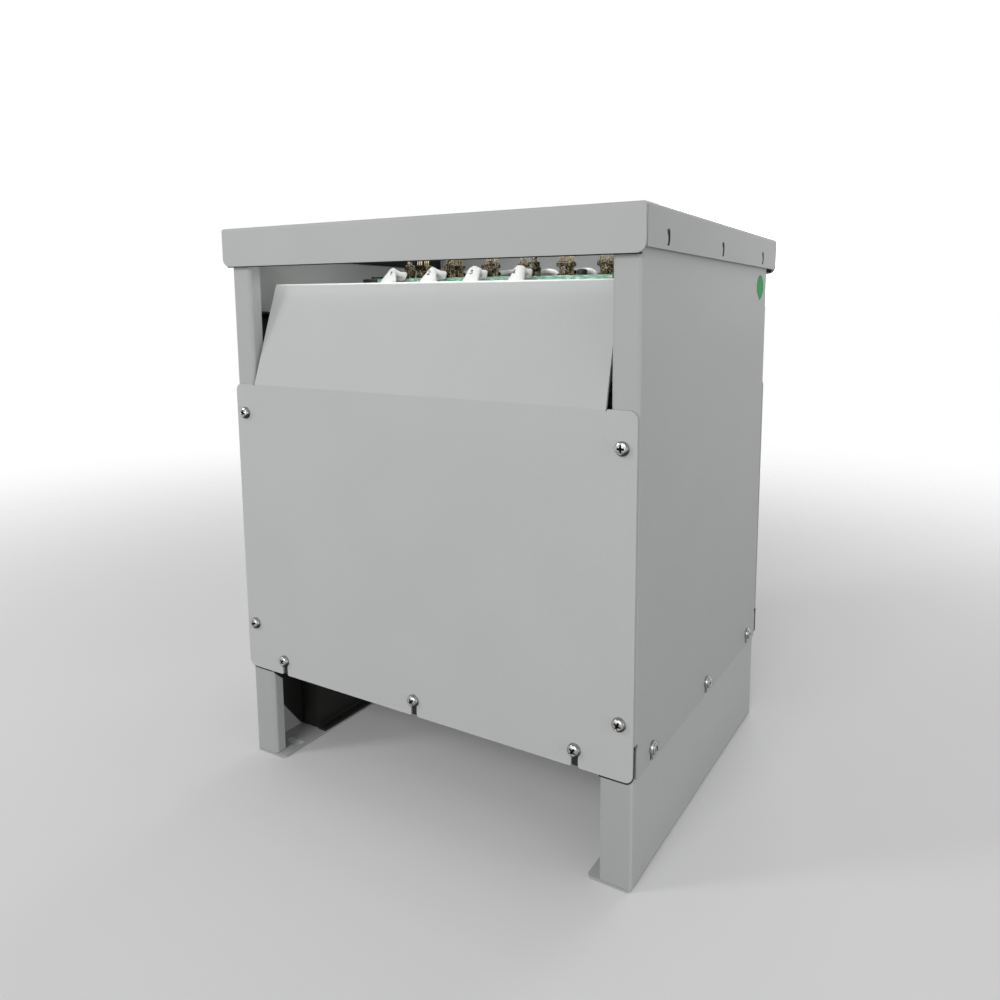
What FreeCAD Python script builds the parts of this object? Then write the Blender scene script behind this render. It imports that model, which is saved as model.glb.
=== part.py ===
import FreeCAD, Part
import math
import os

# Ventilated isolation transformer in a folded sheet enclosure, in millimetres.
# X runs across the front, Y from front to back, Z up. The origin lies on the floor,
# at the centre of the four mounting slots in the feet.

# Enclosure body
body_width = 442.0
body_depth = 336.0
total_height = 544.0
sheet = 2.0
bend_inside = 2.0

# Top cover
cover_side_overhang = 5.5
cover_front_overhang = 5.5
cover_rear_overhang = 13.0
cover_front_flange = 36.5
cover_side_flange = 32.0
cover_corner_radius = 8.0
cover_top_radius = 2.5
corner_seam = 1.0
nib_spacing = 130.0
nib_height = 11.5
nib_slot_width = 2.8
nib_slot_radius = 10.0
nib_below_top = 23.0
nib_eye_radius = 1.8
nib_panel_gap = 0.4
nib_length = 9.0
nib_tip_gap = 0.4

# Side panels, with a post flange and a return lip along both vertical edges
panel_bottom = 95.5
panel_overlap = 28.0
post_width = 24.0
post_lip = 13.0
post_base_gap = 1.5
tongue_corner_radius = 4.0
relief_radius = 2.2

# Foam seals along the top of the side panels, inside
seal_below_top = 24.5
seal_thickness = 4.0
seal_end_gap = 2.0

# Front and back covers, with the slanted baffle below the vent
panel_cover_inset = 0.5
panel_cover_rise = 0.3
panel_cover_corner = 7.0
baffle_side_gap = 3.0
baffle_taper = 3.0
baffle_below_top = 54.0
baffle_rise = 97.6
baffle_lean = 29.0
baffle_bend_inside = 2.0
baffle_relief = 1.0
baffle_relief_depth = 1.5

# Screws that hold the covers and the panels
screw_thread_radius = 3.0
screw_fit = 0.1
screw_clearance = 0.3
screw_length = 12.0
screw_head_radius = 5.8
screw_head_height = 4.6
screw_head_rim = 2.0
screw_shoulder_radius = 5.1
screw_shoulder = 3.6
screw_crown_radius = 3.2
slot_mouth_radius = 1.6
bottom_screw_inset = 52.6
bottom_screw_rise = 15.2
edge_screw_inset = 12.1
upper_screw_below_bend = 28.8
lower_screw_rise = 48.0
side_screw_spacing = 133.0
side_screw_rise = 13.8

# Base feet, one folded sheet each
foot_width = 40.0
leg_width = 29.0
leg_lip = 12.0
leg_lip_below_rail = 7.0
leg_lip_cut = 11.0
leg_seam = 0.5
foot_inner_corner = 5.0
foot_bend_inside = 1.0
slot_length = 20.0
slot_width = 11.5
slot_from_inner_edge = 13.5
slot_from_front = 28.0
drain_radius = 2.5
drain_from_front = 86.0
drain_from_inner_edge = 6.0

# Cross rails between the feet
rail_above_cover_edge = 2.2
rail_height = 25.0
rail_depth = 18.0
rail_end_gap = 0.5
joggle_start_gap = 1.0
joggle_run = 3.0

# Black channels that carry the core
support_sheet = 3.0
support_bend_inside = 1.5
support_below_rail = 10.0
support_flange = 10.0
support_front_gap = 57.5
support_wall_front_gap = 14.0
support_wall_slope = 1.44
support_flap_gap = 0.4
support_wall_lift = 1.5

# Blanking plug in the cable entry of the left panel
entry_radius = 15.3
entry_from_front = 31.0
entry_below_top = 95.0
plug_fit = 0.2
plug_flange_radius = 18.0
plug_flange = 2.0
plug_edge = 1.0
plug_depth = 9.0
plug_wall = 2.0

# Core, a stack of laminations with two windows
centre_limb = 100.0
outer_limb = 50.0
yoke_height = 50.0
stack_depth = 112.0

# Clamp angles on the core, their bolts and the pads below
clamp_sheet = 4.0
clamp_bend_inside = 0.3
clamp_fit = 0.3
clamp_window_gap = 4.0
clamp_leg = 30.0
clamp_end_gap = 5.0
pad_height = 10.0
pad_width = 24.0
clamp_bolt_radius = 5.0
clamp_bolt_fit = 0.5
clamp_washer_radius = 10.0
clamp_washer = 1.6
clamp_head_flats = 16.0
clamp_head_height = 6.5
clamp_nut_height = 8.0
bolt_tail = 3.0
mount_bolt_radius = 4.0
mount_bolt_fit = 0.4
mount_head_flats = 13.0
mount_head_height = 5.5
mount_nut_height = 6.5

# Coil, a set of sleeves round the centre limb
former_clearance = 1.5
former_wall = 3.0
former_corner = 4.0
former_top_gap = 0.3
layer_gap = 0.2
secondary_thickness = 22.0
barrier_thickness = 2.0
shield_thickness = 0.6
primary_thickness = 26.0
wrap_thickness = 1.5
coil_side_clearance = 4.0
winding_end_gap = 5.0
barrier_end_gap = 3.0
shield_end_gap = 8.0

# Terminal board over the core, and its brackets
board_inset = 4.0
board_depth = 100.0
board_thickness = 10.0
board_below_cover = 43.0
bracket_sheet = 3.0
bracket_bend_inside = 1.0
bracket_width = 18.0
bracket_inset = 12.0
bracket_height = 58.0
bracket_setback = 16.0
bracket_foot = 13.0
board_screw_front_inset = 8.0
board_screw_back_inset = 30.0
board_head_radius = 7.0
board_head_height = 2.8
board_screw_radius = 3.0
board_screw_fit = 0.2
row_inset = 14.0

# Front row of terminals: studs with ring lugs
front_end_margin = 56.0
front_offset = -3.0
front_positions = 5
front_lead_count = 4
stud_radius = 3.0
stud_fit = 0.15
stud_top = 20.5
base_nut_flats = 12.0
base_nut_height = 5.0
lug_thickness = 2.0
lug_radius = 6.2
lug_barrel_radius = 4.0
barrel_gap = 0.3
top_washer_radius = 6.4
top_washer = 1.5
top_nut_flats = 10.0
top_nut_height = 5.5
under_nut_height = 5.0
stud_tail = 3.0
cap_radius = 5.0
cap_height = 6.0
cap_edge = 1.0

# Back row of terminals: plates that clamp the wire ends
back_end_margin = 16.0
back_offset = -4.0
back_positions = 7
plate_width = 19.0
plate_height = 19.0
plate_thickness = 3.0
plate_bend_inside = 0.5
plate_gap = 3.6
plate_foot = 8.0
wire_radius = 1.7
wire_count = 4
wire_top = 28.0
plate_bolt_radius = 1.6
plate_bolt_flats = 7.0
plate_bolt_head = 3.0

# Sleeved leads from the coil to the terminals
sleeve_radius = 6.5
front_run_level = 4.5
front_sleeve_gap = 2.0
front_bend = 15.0
back_lead_lean = 7.0
back_run_level = 11.5
back_bend = 20.0
back_run_gap = 1.0
front_root_pitch = 26.0
back_root_pitch = 24.0
lead_lean_start = 20.0
lead_lean_end = 50.0


# Derived places
half_width = body_width / 2
half_depth = body_depth / 2
cover_under = total_height - sheet
nib_reach = cover_side_overhang - sheet - nib_panel_gap
base_face = half_width - sheet
base_top = panel_bottom + panel_overlap
post_bottom = base_top + post_base_gap
post_edge = half_width - post_width
panel_cover_half = half_width - panel_cover_inset
panel_cover_bottom = panel_bottom + panel_cover_rise
panel_cover_face = half_depth + sheet
baffle_half = post_edge - baffle_side_gap
baffle_top = total_height - baffle_below_top
panel_cover_bend = baffle_top - baffle_rise
bottom_screw_x = half_width - bottom_screw_inset
bottom_screw_level = panel_cover_bottom + bottom_screw_rise
edge_screw_x = panel_cover_half - edge_screw_inset
edge_screw_levels = (panel_cover_bottom + lower_screw_rise, panel_cover_bend - upper_screw_below_bend)
side_screw_level = panel_bottom + side_screw_rise
rail_bottom = panel_cover_bottom + rail_above_cover_edge
rail_top = rail_bottom + rail_height
foot_edge = base_face - foot_width
leg_edge = base_face - leg_width
leg_lip_top = rail_bottom - leg_lip_below_rail
slot_x = foot_edge + slot_from_inner_edge
slot_y = half_depth - slot_from_front
drain_x = foot_edge + drain_from_inner_edge
drain_y = half_depth - drain_from_front
entry_level = total_height - entry_below_top
support_top = rail_bottom - support_below_rail
support_outer = base_face - sheet
support_wall_x = foot_edge + support_flange
support_end = half_depth - support_front_gap
support_wall_end = half_depth - support_wall_front_gap
screw_bore = screw_thread_radius
mount_bore = mount_bolt_radius + mount_bolt_fit
clamp_bore = clamp_bolt_radius + clamp_bolt_fit
plate_bore = plate_bolt_radius + screw_fit
screw_shank = screw_thread_radius - screw_fit
screw_slot = screw_thread_radius + screw_clearance

clamp_bottom = support_top + pad_height
core_bottom = clamp_bottom + clamp_sheet
board_top = cover_under - board_below_cover
board_under = board_top - board_thickness
clamp_top = board_under - bracket_height
core_top = clamp_top - clamp_sheet
window_bottom = core_bottom + yoke_height
window_top = core_top - yoke_height
coil_layers = [("coil_former", former_wall, 0.0, former_top_gap),
               ("secondary_winding", secondary_thickness, winding_end_gap, winding_end_gap),
               ("inner_barrier", barrier_thickness, barrier_end_gap, barrier_end_gap),
               ("electrostatic_shield", shield_thickness, shield_end_gap, shield_end_gap),
               ("outer_barrier", barrier_thickness, barrier_end_gap, barrier_end_gap),
               ("primary_winding", primary_thickness, winding_end_gap, winding_end_gap),
               ("coil_wrap", wrap_thickness, barrier_end_gap, barrier_end_gap)]
coil_build = former_clearance + sum(wall + layer_gap for name, wall, low_gap, high_gap in coil_layers)
window_width = coil_build + coil_side_clearance
core_half_width = centre_limb / 2 + window_width + outer_limb
core_half_depth = stack_depth / 2
clamp_inner = core_half_depth + clamp_fit
clamp_outer = clamp_inner + clamp_sheet
clamp_height = yoke_height + clamp_sheet - clamp_window_gap
clamp_bolt_x = core_half_width - outer_limb / 2
pad_x = (support_outer + support_wall_x) / 2
pad_y = clamp_outer - clamp_leg / 2
board_half = core_half_width - board_inset
bracket_centre = core_half_width - bracket_inset
bracket_leg = clamp_outer - bracket_setback
front_row = row_inset - board_depth / 2
back_row = board_depth / 2 - row_inset
front_pitch = 2 * (board_half - front_end_margin) / (front_positions - 1)
back_pitch = 2 * (board_half - back_end_margin) / (back_positions - 1)
front_run_end = -board_depth / 2 - front_sleeve_gap


def vec(x, y, z):
    return FreeCAD.Vector(x, y, z)


def block(x0, x1, y0, y1, z0, z1):
    """Box between two corners given as ranges."""
    return Part.makeBox(x1 - x0, y1 - y0, z1 - z0, vec(x0, y0, z0))


def rod(start, direction, radius, length):
    return Part.makeCylinder(radius, length, start, direction)


def hexagon(start, direction, flats, length):
    """Six-sided prism of a nut or bolt head, with two flats square to Z or X."""
    radius = flats / math.sqrt(3)
    corners = [vec(radius * math.cos(math.radians(60 * k)), radius * math.sin(math.radians(60 * k)), 0)
               for k in range(7)]
    prism = Part.Face(Part.makePolygon(corners)).extrude(vec(0, 0, length))
    turn = FreeCAD.Rotation(vec(0, 0, 1), direction)
    prism.Placement = FreeCAD.Placement(start, turn)
    return prism


def group(solids):
    """Like pieces that share one node stay separate solids."""
    return Part.makeCompound(solids)


def mirror_x(shape):
    return shape.mirror(vec(0, 0, 0), vec(1, 0, 0))


def mirror_y(shape):
    return shape.mirror(vec(0, 0, 0), vec(0, 1, 0))


def in_plan(u, v):
    return vec(u, v, 0)


def in_side(u, v):
    return vec(0, u, v)


def in_front(u, v):
    return vec(u, 0, v)


def folded_section(points, thickness, inside, place):
    """Cross-section of a folded sheet. The points run along one face, and the sheet
    lies on their left. Each bend has the given inside radius."""
    def unit(a, b):
        length = math.hypot(b[0] - a[0], b[1] - a[1])
        return ((b[0] - a[0]) / length, (b[1] - a[1]) / length)

    def at(p, d, s):
        return (p[0] + d[0] * s, p[1] + d[1] * s)

    def left(d):
        return (-d[1], d[0])

    runs = [unit(a, b) for a, b in zip(points, points[1:])]
    near = [(points[0],)]
    far = [(at(points[0], left(runs[0]), thickness),)]
    for corner, before, after in zip(points[1:], runs, runs[1:]):
        cross = before[0] * after[1] - before[1] * after[0]
        side = 1 if cross > 0 else -1
        turn = abs(math.atan2(cross, before[0] * after[0] + before[1] * after[1]))
        near_radius = inside + thickness if side > 0 else inside
        far_radius = inside if side > 0 else inside + thickness
        tangent = at(corner, before, -near_radius * math.tan(turn / 2))
        centre = at(tangent, left(before), side * near_radius)
        towards = unit(centre, corner)
        for radius, face in ((near_radius, near), (far_radius, far)):
            face.append((at(centre, left(before), -side * radius), at(centre, towards, radius),
                         at(centre, left(after), -side * radius)))
    near.append((points[-1],))
    far.append((at(points[-1], left(runs[-1]), thickness),))

    edges = []
    for face in (near, far):
        for here, there in zip(face, face[1:]):
            edges.append(Part.LineSegment(place(*here[-1]), place(*there[0])).toShape())
            if len(there) == 3:
                edges.append(Part.Arc(*[place(*p) for p in there]).toShape())
    for end in (0, -1):
        edges.append(Part.LineSegment(place(*near[end][end]), place(*far[end][end])).toShape())
    return Part.Face(Part.Wire(Part.__sortEdges__(edges)))


def rounded_rectangle(u0, u1, v0, v1, radii, place):
    """Face with a radius for each corner, in the order u0v0, u1v0, u1v1, u0v1."""
    corners = [(u0, v0), (u1, v0), (u1, v1), (u0, v1)]
    edges = []
    starts = []
    ends = []
    for k, (u, v) in enumerate(corners):
        radius = radii[k]
        before = corners[k - 1]
        after = corners[(k + 1) % 4]
        length_in = math.hypot(u - before[0], v - before[1])
        length_out = math.hypot(after[0] - u, after[1] - v)
        into = ((u - before[0]) / length_in, (v - before[1]) / length_in)
        out = ((after[0] - u) / length_out, (after[1] - v) / length_out)
        start = (u - into[0] * radius, v - into[1] * radius)
        end = (u + out[0] * radius, v + out[1] * radius)
        starts.append(start)
        ends.append(end)
        if radius > 0:
            share = radius * (1 - math.sqrt(0.5))
            middle = (u + (out[0] - into[0]) * share, v + (out[1] - into[1]) * share)
            edges.append(Part.Arc(place(*start), place(*middle), place(*end)).toShape())
    for k in range(4):
        edges.append(Part.LineSegment(place(*ends[k - 1]), place(*starts[k])).toShape())
    return Part.Face(Part.Wire(Part.__sortEdges__(edges)))


def ring_tube(half_x, half_y, corner, wall, z0, z1):
    """Rounded rectangular tube round the Z axis, given by its inside."""
    outer = rounded_rectangle(-half_x - wall, half_x + wall, -half_y - wall, half_y + wall,
                              [corner + wall] * 4, in_plan)
    inner = rounded_rectangle(-half_x, half_x, -half_y, half_y, [corner] * 4, in_plan)
    tube = outer.extrude(vec(0, 0, z1 - z0)).cut(inner.extrude(vec(0, 0, z1 - z0)))
    tube.translate(vec(0, 0, z0))
    return tube


def bent_rod(points, bend, radius):
    """Round rod along straight runs, with a bend of one radius at each inner point."""
    pieces = []
    start = points[0]
    for before, corner, after in zip(points, points[1:], points[2:]):
        into = (corner - before).normalize()
        out = (after - corner).normalize()
        turn = into.getAngle(out)
        back = bend * math.tan(turn / 2)
        entry = corner - into * back
        axis = into.cross(out).normalize()
        centre = entry + axis.cross(into) * bend
        section = Part.Face(Part.Wire(Part.Circle(entry, into, radius).toShape()))
        pieces.append(rod(start, into, radius, (entry - start).Length))
        pieces.append(section.revolve(centre, axis, math.degrees(turn)))
        start = corner + out * back
    pieces.append(rod(start, points[-1] - start, radius, (points[-1] - start).Length))
    return pieces[0].fuse(pieces[1:])


def open_slot(x, level, bottom, y0, y1):
    """Slot open at the sheet's lower edge, with a round top and rounded mouth corners."""
    slot = block(x - screw_slot, x + screw_slot, y0, y1, bottom - 1, level)
    slot = slot.fuse(rod(vec(x, y0, level), vec(0, 1, 0), screw_slot, y1 - y0))
    for side in (-1, 1):
        edge = x + side * screw_slot
        far = edge + side * slot_mouth_radius
        corner = block(min(edge, far), max(edge, far), y0, y1, bottom - 1, bottom + slot_mouth_radius)
        round_part = rod(vec(far, y0, bottom + slot_mouth_radius), vec(0, 1, 0), slot_mouth_radius, y1 - y0)
        slot = slot.fuse(corner.cut(round_part))
    return slot


# Top cover: a shallow tray with a deeper flange at the front and back
def make_top_cover():
    x = half_width + cover_side_overhang
    front = -half_depth - cover_front_overhang
    back = half_depth + cover_rear_overhang
    low = total_height - cover_front_flange
    side_low = total_height - cover_side_flange
    tray = block(-x, x, front, back, low, total_height)
    top_edges = [e for e in tray.Edges if e.BoundBox.ZMin > total_height - 0.01]
    tray = tray.makeFillet(cover_top_radius, top_edges)
    tray = tray.cut(block(-x + sheet, x - sheet, front + sheet, back - sheet, low - 1, cover_under))
    for side in (-1, 1):
        inner = side * (x - sheet)
        outer = side * (x + 1)
        x0, x1 = min(inner, outer), max(inner, outer)
        tray = tray.cut(block(x0, x1, front + sheet, back - sheet, low - 1, side_low))
        seam_top = total_height - cover_top_radius
        for seam in (front + sheet, back - sheet - corner_seam):
            tray = tray.cut(block(x0, x1, seam, seam + corner_seam, low - 1, seam_top))
    for side in (-1, 1):
        corner_x = side * (x - cover_corner_radius)
        edge_x = side * (x + 1)
        x0, x1 = min(corner_x, edge_x), max(corner_x, edge_x)
        for y0, y1 in ((front - 1, front + sheet), (back - sheet, back + 1)):
            corner = block(x0, x1, y0, y1, low - 1, low + cover_corner_radius)
            start = vec(corner_x, y0, low + cover_corner_radius)
            keep = rod(start, vec(0, 1, 0), cover_corner_radius, y1 - y0)
            tray = tray.cut(corner.cut(keep))
    for y in (-nib_spacing, 0, nib_spacing):
        tray = add_nib(tray, x, y)
    return tray


def add_nib(tray, x, y):
    """Crescent lanced through both side flanges, with its tongue pressed in to grip the panel."""
    level = total_height - nib_below_top
    back_off = nib_slot_radius - nib_slot_width / 2
    outer = rod(vec(-x - 1, y - back_off, level), vec(1, 0, 0), nib_slot_radius, 2 * x + 2)
    inner = rod(vec(-x - 1, y - back_off - nib_slot_width, level), vec(1, 0, 0), nib_slot_radius, 2 * x + 2)
    limit = block(-x - 1, x + 1, y - nib_slot_radius / 2, y + nib_slot_radius,
                  level - nib_height / 2, level + nib_height / 2)
    eye_level = level + nib_height / 2 - nib_eye_radius
    eye_inset = back_off - math.sqrt(back_off ** 2 - (eye_level - level) ** 2)
    eye = rod(vec(-x - 1, y - eye_inset, eye_level), vec(1, 0, 0), nib_eye_radius, 2 * x + 2)
    tray = tray.cut(outer.cut(inner).common(limit).fuse(eye))
    face = x - sheet
    slot_end = math.sqrt(nib_slot_radius ** 2 - nib_height ** 2 / 4)
    tip_y = y - back_off - nib_slot_width + slot_end - nib_tip_gap
    tongue = [(face, tip_y - nib_length), (face, tip_y), (face - nib_reach, tip_y)]
    corners = [vec(u, v, level - nib_height / 2) for u, v in tongue + tongue[:1]]
    nib = Part.Face(Part.makePolygon(corners)).extrude(vec(0, 0, nib_height))
    return tray.fuse([nib, mirror_x(nib)])


# Right side panel: web, post flanges with lips, and a flat tongue below them
def make_side_panel():
    lip = half_depth - post_lip
    plan = [(post_edge, -lip), (post_edge, -half_depth), (half_width, -half_depth),
            (half_width, half_depth), (post_edge, half_depth), (post_edge, lip)]
    panel = folded_section(plan, sheet, bend_inside, in_plan).extrude(vec(0, 0, cover_under - post_bottom))
    panel.translate(vec(0, 0, post_bottom))
    edge = half_depth - bend_inside - sheet
    tongue = rounded_rectangle(-edge, edge, panel_bottom, post_bottom + bend_inside,
                               [tongue_corner_radius, tongue_corner_radius, 0, 0], in_side)
    tongue = tongue.extrude(vec(sheet, 0, 0))
    tongue.translate(vec(half_width - sheet, 0, 0))
    panel = panel.fuse(tongue)
    cuts = []
    for end in (-1, 1):
        relief = vec(half_width - 2 * sheet, end * (half_depth - bend_inside - sheet), post_bottom)
        cuts.append(rod(relief, vec(1, 0, 0), relief_radius, 3 * sheet))
        for level in edge_screw_levels:
            start = vec(edge_screw_x, end * (half_depth + 1), level)
            cuts.append(rod(start, vec(0, -end, 0), screw_bore, sheet + 2))
    panel = panel.cut(cuts)
    for y in (-side_screw_spacing, 0, side_screw_spacing):
        slot = open_slot(0, side_screw_level, panel_bottom, -sheet, sheet)
        slot.rotate(vec(0, 0, 0), vec(0, 0, 1), 90)
        slot.translate(vec(half_width - sheet / 2, y, 0))
        panel = panel.cut(slot)
    return panel.removeSplitter()


def make_seals():
    end = half_depth - post_lip - seal_end_gap
    face = half_width - sheet
    strip = block(face - seal_thickness, face, -end, end, total_height - seal_below_top, cover_under)
    return group([strip, mirror_x(strip)])


def make_left_panel():
    panel = mirror_x(make_side_panel())
    start = vec(-half_width - 1, entry_from_front - half_depth, entry_level)
    return panel.cut(rod(start, vec(1, 0, 0), entry_radius, sheet + 2))


def make_entry_plug():
    centre_y = entry_from_front - half_depth
    body_radius = entry_radius - plug_fit
    outline = [(0, -plug_flange), (plug_flange_radius - plug_edge, -plug_flange),
               (plug_flange_radius, plug_edge - plug_flange),
               (plug_flange_radius, 0), (body_radius, 0), (body_radius, plug_depth),
               (body_radius - plug_wall, plug_depth), (body_radius - plug_wall, 0),
               (0, 0), (0, -plug_flange)]
    section = Part.Face(Part.makePolygon([vec(d, 0, r) for r, d in outline]))
    plug = section.revolve(vec(0, 0, 0), vec(1, 0, 0), 360)
    plug.translate(vec(-half_width, centre_y, entry_level))
    return plug


# Front cover: flat panel with open slots along its lower edge, and the slanted baffle
def make_panel_cover():
    half = panel_cover_half
    outer = -panel_cover_face
    corners = [panel_cover_corner] * 4
    plate = rounded_rectangle(-half, half, panel_cover_bottom, panel_cover_bend, corners, in_front)
    plate = plate.extrude(vec(0, sheet, 0))
    plate.translate(vec(0, outer, 0))
    root = panel_cover_bend - baffle_relief_depth
    relief = baffle_half + baffle_relief
    plate = plate.cut(block(-relief, relief, outer - 1, outer + sheet + 1, root, panel_cover_bend + 1))
    side = [(outer + baffle_lean, baffle_top), (outer, panel_cover_bend), (outer, root)]
    baffle = folded_section(side, sheet, baffle_bend_inside, in_side).extrude(vec(2 * baffle_half, 0, 0))
    baffle.translate(vec(-baffle_half, 0, 0))
    top_half = baffle_half - baffle_taper
    wedge = [(baffle_half + 1, panel_cover_bend), (baffle_half, panel_cover_bend),
             (top_half, baffle_top), (top_half, baffle_top + 1), (baffle_half + 1, baffle_top + 1)]
    corners = [vec(u, outer - 1, v) for u, v in wedge + wedge[:1]]
    waste = Part.Face(Part.makePolygon(corners)).extrude(vec(0, baffle_lean + sheet + 2, 0))
    baffle = baffle.cut([waste, mirror_x(waste)])
    cover = plate.fuse(baffle)
    for x in (-bottom_screw_x, 0, bottom_screw_x):
        cover = cover.cut(open_slot(x, bottom_screw_level, panel_cover_bottom, outer - 1, outer + sheet + 1))
    for x in (-edge_screw_x, edge_screw_x):
        for level in edge_screw_levels:
            cover = cover.cut(rod(vec(x, outer - 1, level), vec(0, 1, 0), screw_slot, sheet + 2))
    return cover.removeSplitter()


def make_screw(start, direction):
    """Pan head screw with its seat at the start, its shank along the direction."""
    outline = [(0, 0), (screw_head_radius, 0), (screw_head_radius, screw_head_rim),
               (screw_shoulder_radius, screw_shoulder), (screw_crown_radius, screw_head_height),
               (0, screw_head_height), (0, 0)]
    corners = [vec(r, 0, -h) for r, h in outline]
    head = Part.Face(Part.makePolygon(corners)).revolve(vec(0, 0, 0), vec(0, 0, 1), 360)
    screw = head.fuse(rod(vec(0, 0, 0), vec(0, 0, 1), screw_shank, screw_length))
    screw.Placement = FreeCAD.Placement(start, FreeCAD.Rotation(vec(0, 0, 1), direction))
    return screw


def make_cover_screws():
    places = [(x, bottom_screw_level) for x in (-bottom_screw_x, 0, bottom_screw_x)]
    places += [(x, level) for x in (-edge_screw_x, edge_screw_x) for level in edge_screw_levels]
    return group([make_screw(vec(x, -panel_cover_face, level), vec(0, 1, 0)) for x, level in places])


def make_side_screws():
    return group([make_screw(vec(half_width, y, side_screw_level), vec(-1, 0, 0))
                  for y in (-side_screw_spacing, 0, side_screw_spacing)])


# Right foot: web, floor flange with slots, and two legs with lips
def make_base():
    section = [(foot_edge, 0), (base_face, 0), (base_face, base_top)]
    floor = folded_section(section, sheet, foot_bend_inside, in_front)
    foot = floor.extrude(vec(0, body_depth, 0))
    foot.translate(vec(0, -half_depth, 0))
    outside = bend_inside + sheet
    outline = rounded_rectangle(foot_edge, base_face, -half_depth, half_depth,
                                [foot_inner_corner, outside, outside, foot_inner_corner], in_plan)
    foot = foot.common(outline.extrude(vec(0, 0, base_top)))
    lip = half_depth - leg_lip
    plan = [(leg_edge, -lip), (leg_edge, -half_depth), (base_face, -half_depth),
            (base_face, half_depth), (leg_edge, half_depth), (leg_edge, lip)]
    low = sheet + leg_seam
    legs = folded_section(plan, sheet, bend_inside, in_plan).extrude(vec(0, 0, base_top - low))
    legs.translate(vec(0, 0, low))
    for end in (-1, 1):
        root = end * (half_depth - sheet)
        tip = end * (lip - 1)
        cut = [(root, leg_lip_top), (tip, leg_lip_top - leg_lip_cut),
               (tip, base_top + 1), (root, base_top + 1)]
        corners = [vec(leg_edge - 1, u, v) for u, v in cut + cut[:1]]
        legs = legs.cut(Part.Face(Part.makePolygon(corners)).extrude(vec(sheet + bend_inside + 1, 0, 0)))
    base = foot.fuse(legs)
    cuts = [rod(vec(drain_x, -drain_y, -1), vec(0, 0, 1), drain_radius, sheet + 2)]
    for end in (-1, 1):
        y = end * slot_y
        reach = slot_length / 2
        slot = rounded_rectangle(slot_x - reach, slot_x + reach, y - slot_width / 2, y + slot_width / 2,
                                 [slot_width / 2 - 0.001] * 4, in_plan)
        slot = slot.extrude(vec(0, 0, sheet + 2))
        slot.translate(vec(0, 0, -1))
        cuts.append(slot)
    for y in (-side_screw_spacing, 0, side_screw_spacing):
        cuts.append(rod(vec(base_face + 1, y, side_screw_level), vec(-1, 0, 0), screw_bore, sheet + 2))
    return base.cut(cuts).removeSplitter()


# Front cross rail: a channel whose ends step back behind the legs
def make_rail():
    end = base_face - sheet - bend_inside - rail_end_gap
    step = leg_edge - joggle_start_gap
    flat = step - joggle_run
    front = -half_depth
    outline = [(-end, sheet), (-step, sheet), (-flat, 0), (flat, 0), (step, sheet), (end, sheet),
               (end, 2 * sheet), (step, 2 * sheet), (flat, sheet),
               (-flat, sheet), (-step, 2 * sheet), (-end, 2 * sheet)]
    corners = [vec(u, front + v, rail_bottom) for u, v in outline + outline[:1]]
    rail = Part.Face(Part.makePolygon(corners)).extrude(vec(0, 0, rail_top - rail_bottom))
    for z in (rail_bottom, rail_top - sheet):
        flange = block(-end, end, front + sheet, front + rail_depth, z, z + sheet)
        rail = rail.fuse(flange)
    for x in (-bottom_screw_x, 0, bottom_screw_x):
        rail = rail.cut(rod(vec(x, front - 1, bottom_screw_level), vec(0, 1, 0), screw_bore, sheet + 2))
    return rail.removeSplitter()


# Right core support: a channel with an outer wall that runs on behind the legs
def make_core_support():
    side = [(support_outer, sheet + support_wall_lift), (support_outer, support_top),
            (support_wall_x, support_top), (support_wall_x, sheet + support_sheet),
            (foot_edge, sheet + support_sheet)]
    channel = folded_section(side, support_sheet, support_bend_inside, in_front)
    channel = channel.extrude(vec(0, 2 * support_wall_end, 0))
    channel.translate(vec(0, -support_wall_end, 0))
    wall = support_outer - support_sheet
    for end in (-1, 1):
        y0, y1 = sorted((end * support_end, end * (support_wall_end + 1)))
        channel = channel.cut(block(foot_edge - 1, wall, y0, y1, 0, support_top + 1))
        channel = channel.cut(block(wall - 1, support_outer - support_sheet / 2, y0, y1,
                                    support_top - support_sheet, support_top + 1))
        run = support_wall_end - support_end
        rise = run * support_wall_slope
        corner = [(end * support_end, 0), (end * support_end, sheet),
                  (end * (support_wall_end + 1), sheet + rise),
                  (end * (support_wall_end + 1), 0)]
        points = [vec(wall - 1, u, v) for u, v in corner + corner[:1]]
        channel = channel.cut(Part.Face(Part.makePolygon(points)).extrude(vec(support_sheet + 2, 0, 0)))
        y0, y1 = sorted((end * support_end, end * (support_end - support_sheet)))
        flap = block(support_wall_x + support_sheet + support_flap_gap, wall - support_flap_gap, y0, y1,
                     sheet + support_wall_lift, support_top - support_sheet / 2)
        channel = channel.fuse(flap)
    for end in (-1, 1):
        hole = vec(pad_x, end * pad_y, support_top - 2 * support_sheet)
        channel = channel.cut(rod(hole, vec(0, 0, 1), mount_bore, 3 * support_sheet))
    channel = channel.cut(rod(vec(drain_x, -drain_y, 0), vec(0, 0, 1), drain_radius, 3 * support_sheet))
    return channel.removeSplitter()


def support_corners():
    return [(x, y) for x in (-pad_x, pad_x) for y in (-pad_y, pad_y)]


def make_pads():
    pads = []
    for x, y in support_corners():
        pad = block(x - pad_width / 2, x + pad_width / 2, y - clamp_leg / 2, y + clamp_leg / 2,
                    support_top, clamp_bottom)
        hole = rod(vec(x, y, support_top - 1), vec(0, 0, 1), mount_bore, pad_height + 2)
        pads.append(pad.cut(hole))
    return group(pads)


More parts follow.
